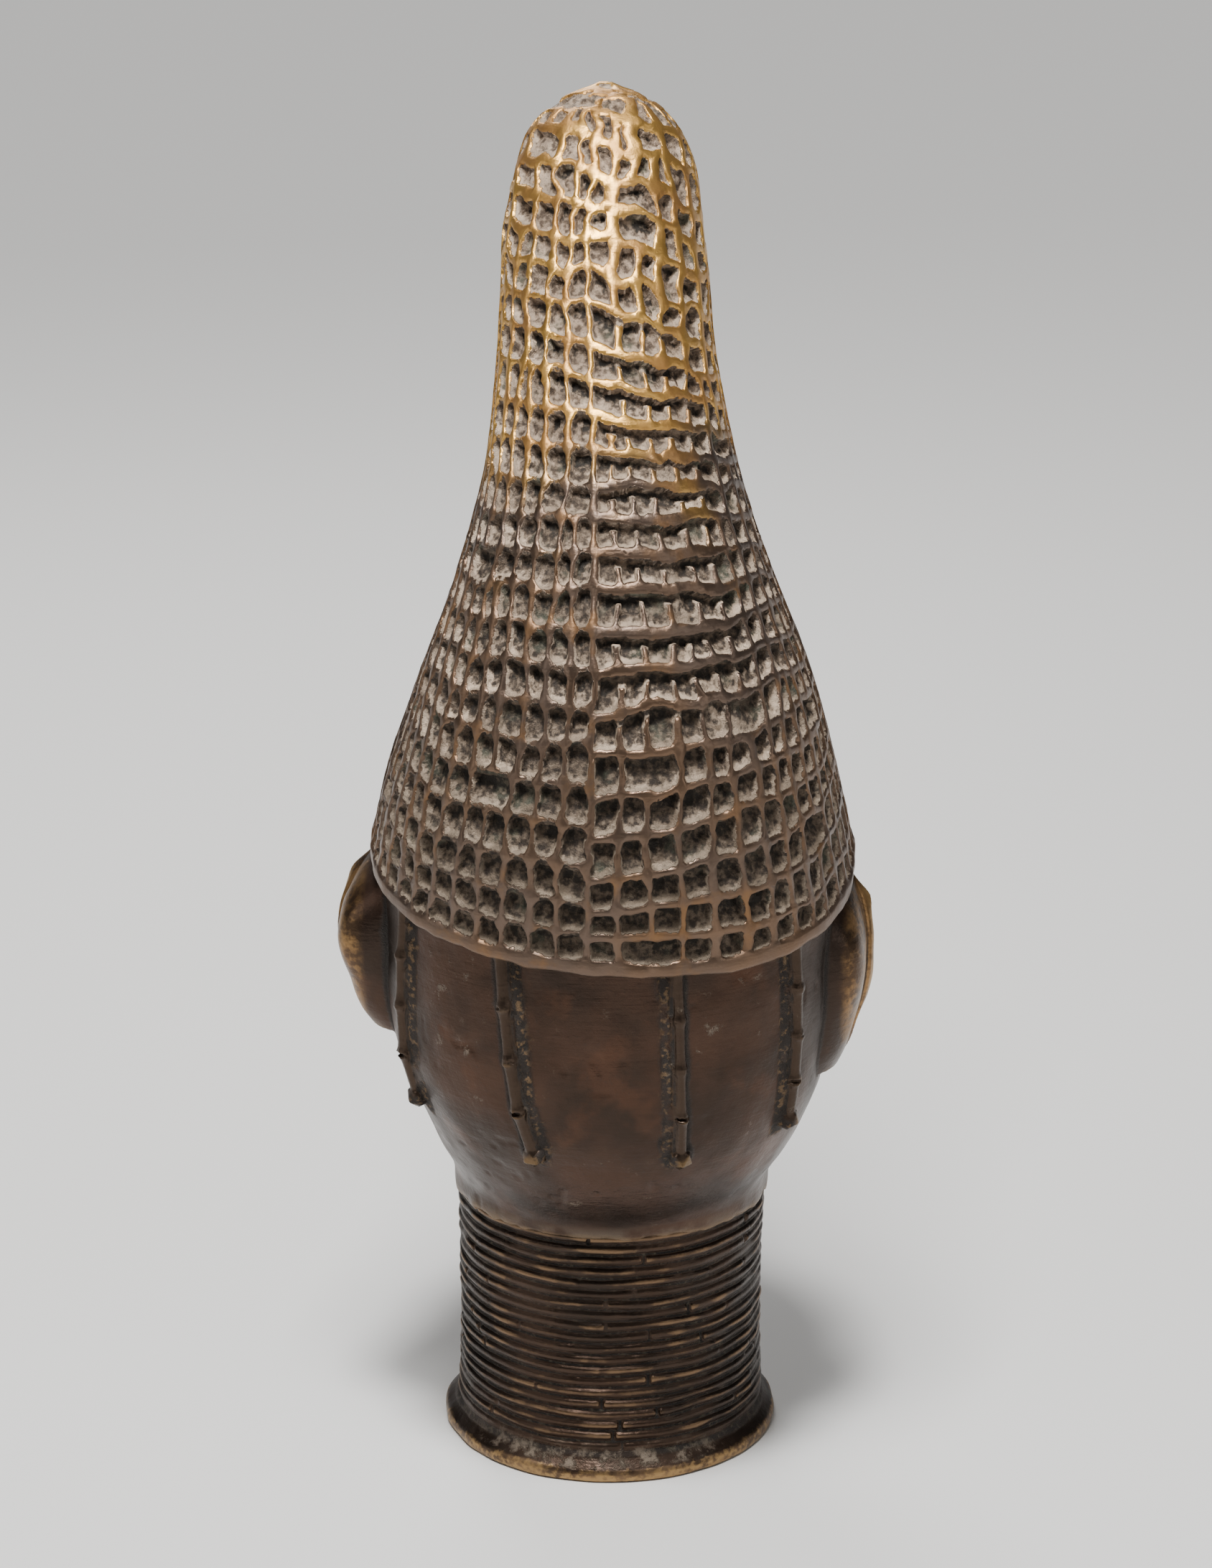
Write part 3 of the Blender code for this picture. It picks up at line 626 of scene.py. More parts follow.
def ear(side, top, tall, wide):
    """One ear, a wedge that opens backwards, with a rolled rim, an inner fold, a hollow and a soft lobe."""
    rows, columns = round(tall / SKIN_STEP), round(wide / SKIN_STEP)
    flare = math.radians(EAR_FLARE_ANGLE)
    out = np.array((math.sin(flare), math.cos(flare), 0.0))
    ahead = np.array((out[1], -out[0], 0.0))
    along = np.linspace(0, 1, columns)[:, None]
    rings = []
    for up in np.linspace(0, 1, rows):
        height = top - tall * (1 - up)
        root = head_skin(math.radians(EAR_FRONT_ANGLE), height)
        root = root - 0.003 * root * (1, 1, 0) / np.linalg.norm(root[:2])
        behind = head_skin(math.radians(EAR_BACK_ANGLE), height)
        behind = behind - 0.006 * behind * (1, 1, 0) / np.linalg.norm(behind[:2])
        reach = wide * smooth_between(EAR_STATIONS, np.array(up))[0] + 0.003
        thin = math.sin(math.pi * (0.06 + 0.88 * up)) ** 0.5
        shut = ramp(1.03, 0.84, up)
        swell = EAR_THICKNESS * thin * (0.25 + 0.25 * np.sqrt(1 - along**4))
        helix = 0.0028 * bell(along, 0.85, 0.11) * ramp(0.18, 0.35, up)
        top_roll = 0.0022 * bell(up, 0.86, 0.06) * ramp(0.1, 0.3, along) * ramp(1.0, 0.75, along)
        fold = 0.0024 * bell(along, 0.60 - 0.15 * (up - 0.5), 0.09) * bell(up, 0.55, 0.22)
        hollow = 0.0060 * bell(along, 0.36, 0.20) * bell(up, 0.50, 0.20)
        scoop = 0.0026 * bell(along, 0.74, 0.10) * bell(up, 0.66, 0.24)
        place = root + out * reach * along + ahead * 0.10 * wide * along**2
        front = place + ahead * (swell + helix + top_roll + fold - hollow - scoop) * shut
        edge = root + out * reach + ahead * (0.10 * wide + 0.05 * EAR_THICKNESS * thin * shut)
        plump = (out * 0.28 + ahead * 0.12) * reach * np.sin(np.pi * along**1.2)
        back = behind + (edge - behind) * along + plump
        rings.append(np.concatenate([front, back[::-1]]))
    points = swayed(np.array(rings) * (side, 1, 1))
    points = points + 0.0004 * soft_noise(points, 0.009, 61)[..., None] * ahead * (side, 1, 1)
    return closed_skin("ear", points if side < 0 else points[:, ::-1])


# Collar


def collar_core():
    """The plain barrel under the rings, with its foot flange."""
    profile = np.array((
        (0.0040, 0.1010), (0.0500, 0.1010), (0.0572, 0.1004), (0.0574, 0.0800), (0.0566, 0.0500),
        (0.0573, 0.0200), (0.0578, 0.0130), (0.0592, 0.0093), (0.0614, 0.0068), (0.0634, 0.0048),
        (0.0640, 0.0030), (0.0636, 0.0008), (0.0625, 0.0000), (0.0300, 0.0000), (0.0040, 0.0000),
    ))[::-1]
    length = np.concatenate([[0], np.cumsum(np.linalg.norm(np.diff(profile, axis=0), axis=1))])
    fine = np.linspace(0, length[-1], round(length[-1] / SKIN_STEP))
    radius, height = np.interp(fine, length, profile[:, 0]), np.interp(fine, length, profile[:, 1])
    turn = np.linspace(0, math.tau, round(math.tau * FLANGE_RADIUS / SKIN_STEP), endpoint=False)
    points = np.stack([
        radius[:, None] * np.cos(turn), radius[:, None] * np.sin(turn), height[:, None] + 0 * turn,
    ], axis=-1)
    wavy = soft_noise(points * (1, 1, 0), 0.030, 71) + 0.5 * soft_noise(points * (1, 1, 0), 0.010, 72)
    at_edge = ramp(0.0590, 0.0635, radius)[:, None] * ramp(0.012, 0.004, height)[:, None]
    points[..., :2] *= 1 + (0.011 * wavy * at_edge)[..., None]
    points[..., 2] += 0.0009 * wavy * at_edge * ramp(0.001, 0.004, height)[:, None]
    return closed_skin("collar", swayed(points))


def add_node(tree, kind, links=None, **settings):
    """A node with its settings, whose inputs are set from links: a value, or an output to join to."""
    made = tree.nodes.new(kind)
    for name, value in settings.items():
        setattr(made, name, value)
    for name, value in (links or {}).items():
        socket = made.inputs[name]
        if isinstance(value, bpy.types.NodeSocket):
            tree.links.new(value, socket)
        else:
            socket.default_value = value
    return made


def maths(tree, operation, *values):
    """The output of a math node on values or outputs."""
    return add_node(tree, "ShaderNodeMath", dict(enumerate(values)), operation=operation).outputs[0]


def geometry_tree(name, inputs):
    """An empty geometry tree with named inputs: its tree, its input node and its output socket."""
    tree = bpy.data.node_groups.new(name, "GeometryNodeTree")
    tree.interface.new_socket("Geometry", in_out="INPUT", socket_type="NodeSocketGeometry")
    for label, kind in inputs:
        tree.interface.new_socket(label, in_out="INPUT", socket_type=kind)
    tree.interface.new_socket("Geometry", in_out="OUTPUT", socket_type="NodeSocketGeometry")
    given = tree.nodes.new("NodeGroupInput")
    result = tree.nodes.new("NodeGroupOutput")
    return tree, given, result


def run_tree(carrier, tree, values):
    """A plain mesh object that a geometry tree makes on its carrier, which is removed."""
    modifier = carrier.modifiers.new(tree.name, "NODES")
    modifier.node_group = tree
    for item in tree.interface.items_tree:
        if item.item_type == "SOCKET" and item.in_out == "INPUT" and item.name in values:
            modifier[item.identifier] = values[item.name]
    evaluated = carrier.evaluated_get(bpy.context.evaluated_depsgraph_get())
    mesh = bpy.data.meshes.new_from_object(evaluated)
    made = bpy.data.objects.new(tree.name, mesh)
    bpy.context.scene.collection.objects.link(made)
    bpy.data.objects.remove(carrier)
    return made


def random_value(tree, low, high, seed, identity=None):
    """A random number between two values, which is the same for equal identities."""
    links = {"Min": low, "Max": high, "Seed": seed}
    if identity is not None:
        links["ID"] = identity
    return add_node(tree, "FunctionNodeRandomValue", links, data_type="FLOAT").outputs[1]


def finish_tree(tree, result, instances, material):
    """Ends a tree: its instances become a real mesh with the material."""
    real = add_node(tree, "GeometryNodeRealizeInstances", {"Geometry": instances})
    coated = add_node(tree, "GeometryNodeSetMaterial", {
        "Geometry": real.outputs["Geometry"], "Material": material,
    })
    tree.links.new(coated.outputs["Geometry"], result.inputs["Geometry"])


def ring_tree():
    """Rings of long tube beads, stacked up the collar and turned by chance, so that no joints line up.

    A bead's section leans out at its top, so that each ring ends in a fine crest.
    """
    tree, given, result = geometry_tree("collar_rings", [
        ("Rings", "NodeSocketInt"), ("Beads", "NodeSocketInt"), ("Radius", "NodeSocketFloat"),
        ("Waist", "NodeSocketFloat"), ("Lowest", "NodeSocketFloat"), ("Pitch", "NodeSocketFloat"),
        ("Gap", "NodeSocketFloat"), ("Seed", "NodeSocketInt"), ("Material", "NodeSocketMaterial"),
    ])
    get = given.outputs
    thick = maths(tree, "MULTIPLY", get["Pitch"], 0.51)
    whole = maths(tree, "DIVIDE", math.tau, get["Beads"])
    sweep = maths(tree, "SUBTRACT", whole, maths(tree, "DIVIDE", get["Gap"], get["Radius"]))
    arc = add_node(tree, "GeometryNodeCurveArc", {
        "Resolution": 36, "Radius": maths(tree, "SUBTRACT", get["Radius"], thick), "Sweep Angle": sweep,
    })
    section = add_node(tree, "GeometryNodeCurvePrimitiveCircle", {"Resolution": 12, "Radius": thick})
    bead = add_node(tree, "GeometryNodeCurveToMesh", {
        "Curve": arc.outputs["Curve"], "Profile Curve": section.outputs["Curve"], "Fill Caps": True,
    })
    spot = add_node(tree, "GeometryNodeInputPosition").outputs["Position"]
    split = add_node(tree, "ShaderNodeSeparateXYZ", {"Vector": spot})
    lean = maths(tree, "MULTIPLY_ADD", maths(tree, "DIVIDE", split.outputs["Z"], get["Radius"]), 0.50, 1.0)
    leaning = add_node(tree, "ShaderNodeCombineXYZ", {"X": lean, "Y": lean, "Z": 1.0})
    shaped = add_node(
        tree, "ShaderNodeVectorMath", {0: spot, 1: leaning.outputs["Vector"]}, operation="MULTIPLY",
    )
    crested = add_node(tree, "GeometryNodeSetPosition", {
        "Geometry": bead.outputs["Mesh"], "Position": shaped.outputs["Vector"],
    })
    index = add_node(tree, "GeometryNodeInputIndex").outputs["Index"]
    level = maths(tree, "FLOOR", maths(tree, "DIVIDE", index, get["Beads"]))
    height = maths(tree, "MULTIPLY_ADD", maths(tree, "ADD", level, 0.5), get["Pitch"], get["Lowest"])
    place = add_node(tree, "ShaderNodeCombineXYZ", {"Z": height})
    points = add_node(tree, "GeometryNodePoints", {
        "Count": maths(tree, "MULTIPLY", get["Rings"], get["Beads"]), "Position": place.outputs["Vector"],
    })
    slip = random_value(tree, 0.0, 6.283, get["Seed"], level)
    jitter = random_value(tree, -0.010, 0.010, get["Seed"])
    angle = maths(tree, "MULTIPLY_ADD", maths(tree, "MODULO", index, get["Beads"]), whole, slip)
    turned = add_node(tree, "ShaderNodeCombineXYZ", {"Z": maths(tree, "ADD", angle, jitter)})
    share = maths(tree, "DIVIDE", maths(tree, "ADD", level, 0.5), get["Rings"])
    drawn_in = maths(tree, "SINE", maths(tree, "MULTIPLY", share, math.pi))
    drawn_in = maths(tree, "MULTIPLY", drawn_in, get["Waist"])
    slim = maths(tree, "SUBTRACT", 1.0, maths(tree, "DIVIDE", drawn_in, get["Radius"]))
    wide = maths(tree, "ADD", slim, random_value(tree, -0.003, 0.003, get["Seed"]))
    size = add_node(tree, "ShaderNodeCombineXYZ", {"X": wide, "Y": wide, "Z": 1.0})
    beads = add_node(tree, "GeometryNodeInstanceOnPoints", {
        "Points": points.outputs["Points"], "Instance": crested.outputs["Geometry"],
        "Rotation": turned.outputs["Vector"], "Scale": size.outputs["Vector"],
    })
    finish_tree(tree, result, beads.outputs["Instances"], get["Material"])
    return tree


def collar_rings(material):
    """The stack of bead rings."""
    carrier = mesh_object("carrier", [], [])
    values = {
        "Rings": RING_COUNT, "Beads": BEADS_PER_RING, "Radius": COLLAR_RADIUS, "Waist": COLLAR_WAIST,
        "Lowest": RING_LOWEST, "Pitch": (COLLAR_HEIGHT - RING_LOWEST) / RING_COUNT, "Gap": BEAD_GAP,
        "Seed": 4, "Material": material,
    }
    rings = run_tree(carrier, ring_tree(), values)
    points = swayed(vertex_places(rings.data))
    points[:, 2] += 0.0008 * soft_noise(points * (1, 1, 2.5), 0.022, 81)
    points[:, :2] *= 1 + 0.009 * soft_noise(points * (1, 1, 2.0), 0.009, 82)[:, None]
    rings.data.vertices.foreach_set("co", points.ravel())
    return rings


# Bead strings


def string_tree():
    """Tube beads with flared ends along a curve, and a faceted ball at its foot."""
    tree, given, result = geometry_tree("bead_string", [
        ("Beads", "NodeSocketInt"), ("Bead radius", "NodeSocketFloat"), ("Bead length", "NodeSocketFloat"),
        ("Ball radius", "NodeSocketFloat"), ("Seed", "NodeSocketInt"), ("Material", "NodeSocketMaterial"),
    ])
    get = given.outputs
    tube = add_node(tree, "GeometryNodeMeshCylinder", {
        "Vertices": 8, "Side Segments": 10, "Radius": get["Bead radius"],
        "Depth": maths(tree, "SUBTRACT", get["Bead length"], 0.0009),
    })
    where = add_node(tree, "GeometryNodeInputPosition").outputs["Position"]
    split = add_node(tree, "ShaderNodeSeparateXYZ", {"Vector": where})
    out = maths(tree, "DIVIDE", maths(tree, "ABSOLUTE", split.outputs["Z"]), get["Bead length"])
    flare = maths(tree, "POWER", maths(tree, "MULTIPLY", out, 2.0), 6.0)
    flare = maths(tree, "MULTIPLY_ADD", flare, 0.42, 0.82)
    stretch = add_node(tree, "ShaderNodeCombineXYZ", {"X": flare, "Y": flare, "Z": 1.0})
    flared = add_node(
        tree, "ShaderNodeVectorMath", {0: where, 1: stretch.outputs["Vector"]}, operation="MULTIPLY",
    )
    bead = add_node(tree, "GeometryNodeSetPosition", {
        "Geometry": tube.outputs["Mesh"], "Position": flared.outputs["Vector"],
    })
    half = maths(tree, "MULTIPLY", get["Bead length"], 0.5)
    whole = add_node(tree, "GeometryNodeCurveLength", {"Curve": get["Geometry"]})
    trim = add_node(tree, "GeometryNodeTrimCurve", {"Curve": get["Geometry"]}, mode="LENGTH")
    tree.links.new(half, trim.inputs[4])
    tree.links.new(maths(tree, "SUBTRACT", whole.outputs["Length"], half), trim.inputs[5])
    spots = add_node(tree, "GeometryNodeCurveToPoints", {
        "Curve": trim.outputs["Curve"], "Count": get["Beads"],
    }, mode="COUNT")
    aligned = add_node(
        tree, "FunctionNodeAlignRotationToVector", {"Vector": spots.outputs["Tangent"]}, axis="Z",
    )
    vary = random_value(tree, 0.88, 1.10, get["Seed"])
    plump = add_node(tree, "ShaderNodeCombineXYZ", {"X": vary, "Y": vary, "Z": 1.0})
    beads = add_node(tree, "GeometryNodeInstanceOnPoints", {
        "Points": spots.outputs["Points"], "Instance": bead.outputs["Geometry"],
        "Rotation": aligned.outputs["Rotation"], "Scale": plump.outputs["Vector"],
    })
    foot = add_node(tree, "GeometryNodeCurveEndpointSelection", {"Start Size": 0, "End Size": 1})
    ball = add_node(tree, "GeometryNodeMeshIcoSphere", {"Radius": get["Ball radius"], "Subdivisions": 1})
    hung = add_node(tree, "GeometryNodeInstanceOnPoints", {
        "Points": get["Geometry"], "Selection": foot.outputs["Selection"], "Instance": ball.outputs["Mesh"],
    })
    both = tree.nodes.new("GeometryNodeJoinGeometry")
    tree.links.new(hung.outputs["Instances"], both.inputs["Geometry"])
    tree.links.new(beads.outputs["Instances"], both.inputs["Geometry"])
    finish_tree(tree, result, both.outputs["Geometry"], get["Material"])
    return tree


def string_route(turn_top, turn_foot, foot, lift):
    """Points down the skin of the head that a string follows."""
    route = []
    top = rim_level(head_surface(np.radians(turn_top), np.array(1.0))) + 0.002
    for share in np.linspace(0, 1, 25):
        turn = math.radians(turn_top + (turn_foot - turn_top) * share)
        skin = head_skin(turn, top + (foot - top) * share)
        route.append(swayed(skin + lift * skin * (1, 1, 0) / np.linalg.norm(skin[:2])))
    return np.array(route)


def path_length(route):
    """Length of the path through the points."""
    return np.linalg.norm(np.diff(route, axis=0), axis=1).sum()


def strip_route(turn_top, turn_foot, foot):
    """Points down the skin of the head that the strip beside a string follows."""
    shift = math.copysign(STRIP_SHIFT, turn_top)
    return string_route(turn_top - shift, turn_foot - shift, foot, 0.0)


def ragged_strip(route, half_width):
    """The low rough strip of metal that a string of beads lies in, with a ragged edge on both sides."""
    across = np.cross(np.gradient(route, axis=0), route * (1, 1, 0))
    across /= np.linalg.norm(across, axis=-1, keepdims=True)
    outward = route * (1, 1, 0) / np.linalg.norm(route[:, :2], axis=-1, keepdims=True)
    fine = np.linspace(0, 1, round(path_length(route) / SKIN_STEP))
    grid = np.linspace(0, 1, len(route))
    middle = np.stack([np.interp(fine, grid, route[:, axis]) for axis in range(3)], axis=-1)
    across = np.stack([np.interp(fine, grid, across[:, axis]) for axis in range(3)], axis=-1)
    outward = np.stack([np.interp(fine, grid, outward[:, axis]) for axis in range(3)], axis=-1)
    rings = []
    for angle in np.linspace(0, math.tau, 12, endpoint=False):
        edge = middle + across * math.cos(angle) * 0.0012
        half = half_width * (1 + 0.20 * soft_noise(edge, 0.007, 65) + 0.22 * soft_noise(edge, 0.0028, 66))
        thick = 0.0014 + 0.0003 * soft_noise(edge, 0.006, 67) + 0.0006 * soft_noise(edge, 0.0024, 68)
        rings.append(
            middle
            + across * (math.cos(angle) * half)[:, None]
            + outward * (math.sin(angle) * thick - 0.0002)[:, None]
        )
    return closed_skin("strip", np.array(rings).transpose(1, 0, 2))


def bead_strings(material):
    """The strings of tube beads that hang from the rim over the skin of the head."""
    tree = string_tree()
    strings = []
    for number, (turn_top, turn_foot, foot, radius, strip_width) in enumerate(STRINGS):
        curve = bpy.data.curves.new("string", "CURVE")
        curve.dimensions = "3D"
        spline = curve.splines.new("POLY")
        route = string_route(turn_top, turn_foot, foot, 0.45 * radius)
        spline.points.add(len(route) - 1)
        for place, point in zip(route, spline.points):
            point.co = (*place, 1.0)
        strings.append(ragged_strip(strip_route(turn_top, turn_foot, foot), strip_width))
        carrier = bpy.data.objects.new("string", curve)
        bpy.context.scene.collection.objects.link(carrier)
        length = path_length(route)
        beads = round(length / BEAD_LENGTH)
        values = {
            "Beads": beads, "Bead radius": radius, "Bead length": length / beads,
            "Ball radius": END_BALL_RADIUS, "Seed": number, "Material": material,
        }
        strings.append(run_tree(carrier, tree, values))
    return strings


# Melting the skins into one casting


def melted(name, pieces, step, triangles):
    """One closed surface around all the pieces, thinned to the triangle budget."""
    joined = bmesh.new()
    for piece in pieces:
        joined.from_mesh(piece.data)
        bpy.data.objects.remove(piece)
    mesh = bpy.data.meshes.new(name)
    joined.to_mesh(mesh)
    joined.free()
    casting = bpy.data.objects.new(name, mesh)
    bpy.context.scene.collection.objects.link(casting)
    apply_modifier(casting, "REMESH", mode="VOXEL", voxel_size=step, adaptivity=0.0)
    return thinned(casting, triangles)


def thinned(casting, triangles):
    """The casting with its relief stored and its surface thinned to the triangle budget."""
    mesh = casting.data
    store_relief(mesh)
    dense = sum(len(face.vertices) - 2 for face in mesh.polygons)
    apply_modifier(casting, "DECIMATE", ratio=min(1.0, triangles / dense), use_collapse_triangulate=True)
    print(casting.name, "has", len(casting.data.polygons), "of", dense, "triangles")
    return casting


def apply_modifier(thing, kind, **settings):
    """Replaces the object's mesh by what one modifier makes of it."""
    modifier = thing.modifiers.new(kind, kind)
    for name, value in settings.items():
        setattr(modifier, name, value)
    evaluated = thing.evaluated_get(bpy.context.evaluated_depsgraph_get())
    mesh = bpy.data.meshes.new_from_object(evaluated)
    thing.modifiers.remove(modifier)
    old = thing.data
    thing.data = mesh
    bpy.data.meshes.remove(old)


def vertex_places(mesh):
    """The mesh's vertices as an array of points."""
    flat = np.empty(len(mesh.vertices) * 3)
    mesh.vertices.foreach_get("co", flat)
    return flat.reshape(-1, 3)


def store_relief(mesh):
    """Stores how far each vertex stands above its surroundings, in millimetres, as the attribute relief."""
    points = vertex_places(mesh)
    edges = np.empty(len(mesh.edges) * 2, np.int32)
    mesh.edges.foreach_get("vertices", edges)
    first, second = edges.reshape(-1, 2).T
    ends = np.concatenate([first, second])
    others = np.concatenate([second, first])
    share = 1.0 / np.maximum(np.bincount(ends, minlength=len(points)), 1)
    calm = points.copy()
    for _ in range(60):
        around = [np.bincount(ends, calm[others, axis], len(points)) * share for axis in range(3)]
        calm = np.stack(around, axis=1)
    normals = np.empty(len(points) * 3)
    mesh.vertices.foreach_get("normal", normals)
    store(mesh, "relief", ((points - calm) * normals.reshape(-1, 3)).sum(axis=1) * 1000)


def store_nearness(mesh):
    """Stores 1 on the bead strings and on their strips, and 0 away from them, as string and strip."""
    points = vertex_places(mesh)
    string = np.full(len(points), 1.0)
    strip = np.full(len(points), 1.0)
    for turn_top, turn_foot, foot, radius, strip_width in STRINGS:
        for place in string_route(turn_top, turn_foot, foot, 0.5 * radius):
            string = np.minimum(string, np.linalg.norm((points - place) * (1, 1, 0.75), axis=1) - radius)
        for place in strip_route(turn_top, turn_foot, foot):
            reach = np.linalg.norm((points - place) * (1, 1, 0.75), axis=1)
            strip = np.minimum(strip, reach - 0.8 * strip_width)
    store(mesh, "string", ramp(0.0012, 0.0002, string))
    store(mesh, "strip", ramp(0.0022, 0.0004, strip))


# Materials


def wave(tree, coordinates, scale, detail=3.0, roughness=0.55, stretch=None):
    """A noise pattern's value on the object's own coordinates."""
    if stretch:
        mapped = add_node(tree, "ShaderNodeMapping", {"Vector": coordinates, "Scale": stretch})
        coordinates = mapped.outputs["Vector"]
    made = add_node(tree, "ShaderNodeTexNoise", {
        "Vector": coordinates, "Scale": scale, "Detail": detail, "Roughness": roughness,
    })
    return made.outputs["Fac"]


def spread(tree, value, low, high, to_low=0.0, to_high=1.0):
    """value moved from the range low to high to another range, and held inside it."""
    made = add_node(tree, "ShaderNodeMapRange", {
        "Value": value, "From Min": low, "From Max": high, "To Min": to_low, "To Max": to_high,
    }, interpolation_type="SMOOTHSTEP")
    return made.outputs["Result"]


def blend(tree, share, first, second):
    """Two colours mixed by a share."""
    made = tree.nodes.new("ShaderNodeMix")
    made.data_type = "RGBA"
    tree.links.new(share, made.inputs[0])
    for socket, value in ((made.inputs[6], first), (made.inputs[7], second)):
        if isinstance(value, bpy.types.NodeSocket):
            tree.links.new(value, socket)
        else:
            socket.default_value = (*value, 1.0)
    return made.outputs[2]


def attribute(tree, name):
    """The value that the mesh stores under a name."""
    made = add_node(tree, "ShaderNodeAttribute", attribute_name=name, attribute_type="GEOMETRY")
    return made.outputs["Fac"]


def new_patina(name):
    """A new bronze material: the material, its tree, the object's coordinates and its noise patterns."""
    material = bpy.data.materials.new(name)
    material.use_nodes = True
    tree = material.node_tree
    where = add_node(tree, "ShaderNodeTexCoord").outputs["Object"]
    noises = {
        "coarse": wave(tree, where, 22.0, 4.0),
        "patches": wave(tree, where, 60.0, 5.0),
        "fine": wave(tree, where, 420.0, 4.0),
        "grain": wave(tree, where, 1500.0, 3.0, 0.7),
        "scratches": wave(tree, where, 260.0, 2.0, 0.6, (0.25, 0.25, 3.0)),
    }
    return material, tree, where, noises


def finish_patina(tree, noises, colour, matt, gloss, dull, bare):
    """Joins a colour to the shader. matt is 1 where the metal is rough or dusty.

    gloss is the roughness elsewhere and dull the roughness there, and bare is how metallic it still is.
    """
    shader = tree.nodes["Principled BSDF"]
    tree.links.new(colour, shader.inputs["Base Color"])
    tree.links.new(spread(tree, matt, 0.0, 1.0, 0.92, bare), shader.inputs["Metallic"])
    rough = spread(tree, matt, 0.0, 1.0, gloss, dull)
    rough = maths(tree, "ADD", rough, spread(tree, noises["patches"], 0.3, 0.7, -0.06, 0.10))
    tree.links.new(rough, shader.inputs["Roughness"])
    grit = maths(tree, "MULTIPLY", noises["grain"], spread(tree, matt, 0.0, 1.0, 0.10, 1.0))
    bump = add_node(tree, "ShaderNodeBump", {"Height": grit, "Strength": 0.8, "Distance": 0.0008})
    lumps = maths(tree, "MULTIPLY", noises["fine"], spread(tree, matt, 0.0, 1.0, 0.35, 1.0))
    lumps = maths(tree, "MULTIPLY_ADD", noises["scratches"], 0.20, lumps)
    bump = add_node(tree, "ShaderNodeBump", {
        "Height": lumps, "Strength": 0.5, "Distance": 0.0010, "Normal": bump.outputs["Normal"],
    })
    tree.links.new(bump.outputs["Normal"], shader.inputs["Normal"])


def net_bronze():
    """The cap's bronze: flat rib faces filed brown to gold; rough pits, painted shade deep in them, painted
    highlight on ledges.
    """
    material, tree, where, noises = new_patina("net_bronze")
    height = add_node(tree, "ShaderNodeSeparateXYZ", {"Vector": where}).outputs["Z"]
    net = attribute(tree, "net")
    ragged = maths(tree, "ADD", net, spread(tree, noises["fine"], 0.3, 0.7, -0.09, 0.09))
    face = spread(tree, ragged, 0.78, 0.88)
    high_up = spread(tree, height, 0.33 * GROWTH, 0.46 * GROWTH)

    patches = spread(tree, noises["patches"], 0.35, 0.65)
    specks = spread(tree, noises["fine"], 0.35, 0.65)
    brown = spread(tree, noises["coarse"], 0.38, 0.62)
    brown = blend(tree, brown, (0.128, 0.090, 0.068), (0.160, 0.100, 0.064))
    brown = blend(tree, spread(tree, noises["patches"], 0.54, 0.72), brown, (0.215, 0.120, 0.060))
    gold = blend(tree, patches, (0.66, 0.38, 0.10), (0.42, 0.22, 0.07))
    worn = spread(tree, maths(tree, "MULTIPLY_ADD", noises["coarse"], 1.3, high_up), 0.85, 1.30)
    rib = blend(tree, worn, brown, gold)

    ledge = maths(tree, "ADD", attribute(tree, "ledge"), spread(tree, noises["fine"], 0.3, 0.7, -0.30, 0.30))
    floor = blend(tree, specks, (0.040, 0.030, 0.023), (0.150, 0.112, 0.080))
    # The pit floors get lighter towards the top of the cap.
    lighter = blend(tree, specks, (0.090, 0.064, 0.045), (0.34, 0.255, 0.185))
    floor = blend(tree, high_up, floor, lighter)
    flecks = maths(tree, "MULTIPLY", spread(tree, wave(tree, where, 75.0, 5.0), 0.54, 0.68), 0.5)
    floor = blend(tree, flecks, floor, (0.11, 0.125, 0.09))
    # Painted highlight: a cream on up-facing ledges and rib shoulders, dimmer (dull) low on the cap.
    dull = blend(tree, patches, (0.31, 0.245, 0.18), (0.17, 0.130, 0.093))
    painted_highlight = blend(tree, patches, (0.60, 0.47, 0.35), (0.34, 0.26, 0.19))
    painted_highlight = blend(tree, spread(tree, height, 0.25 * GROWTH, 0.33 * GROWTH), dull, painted_highlight)
    # lip and pale: where the painted highlight goes, on ledges and on rib shoulders that don't face down.
    lip = spread(tree, ledge, -0.35, 0.10, 0.0, 0.7)
    lip = maths(tree, "MULTIPLY", spread(tree, ragged, 0.40, 0.64), lip)
    pale = maths(tree, "MAXIMUM", lip, spread(tree, ledge, 0.30, 1.00))
    pits_with_painted_light = blend(tree, pale, floor, painted_highlight)
    # Painted shade: near black in the deepest part of each pit, under the level rib above it.
    pits_with_painted_light = blend(tree, spread(tree, ragged, 0.02, 0.22), (0.030, 0.025, 0.020), pits_with_painted_light)
    colour = blend(tree, face, pits_with_painted_light, rib)
    finish_patina(tree, noises, colour, maths(tree, "SUBTRACT", 1.0, face), 0.40, 0.62, 0.55)
    return material


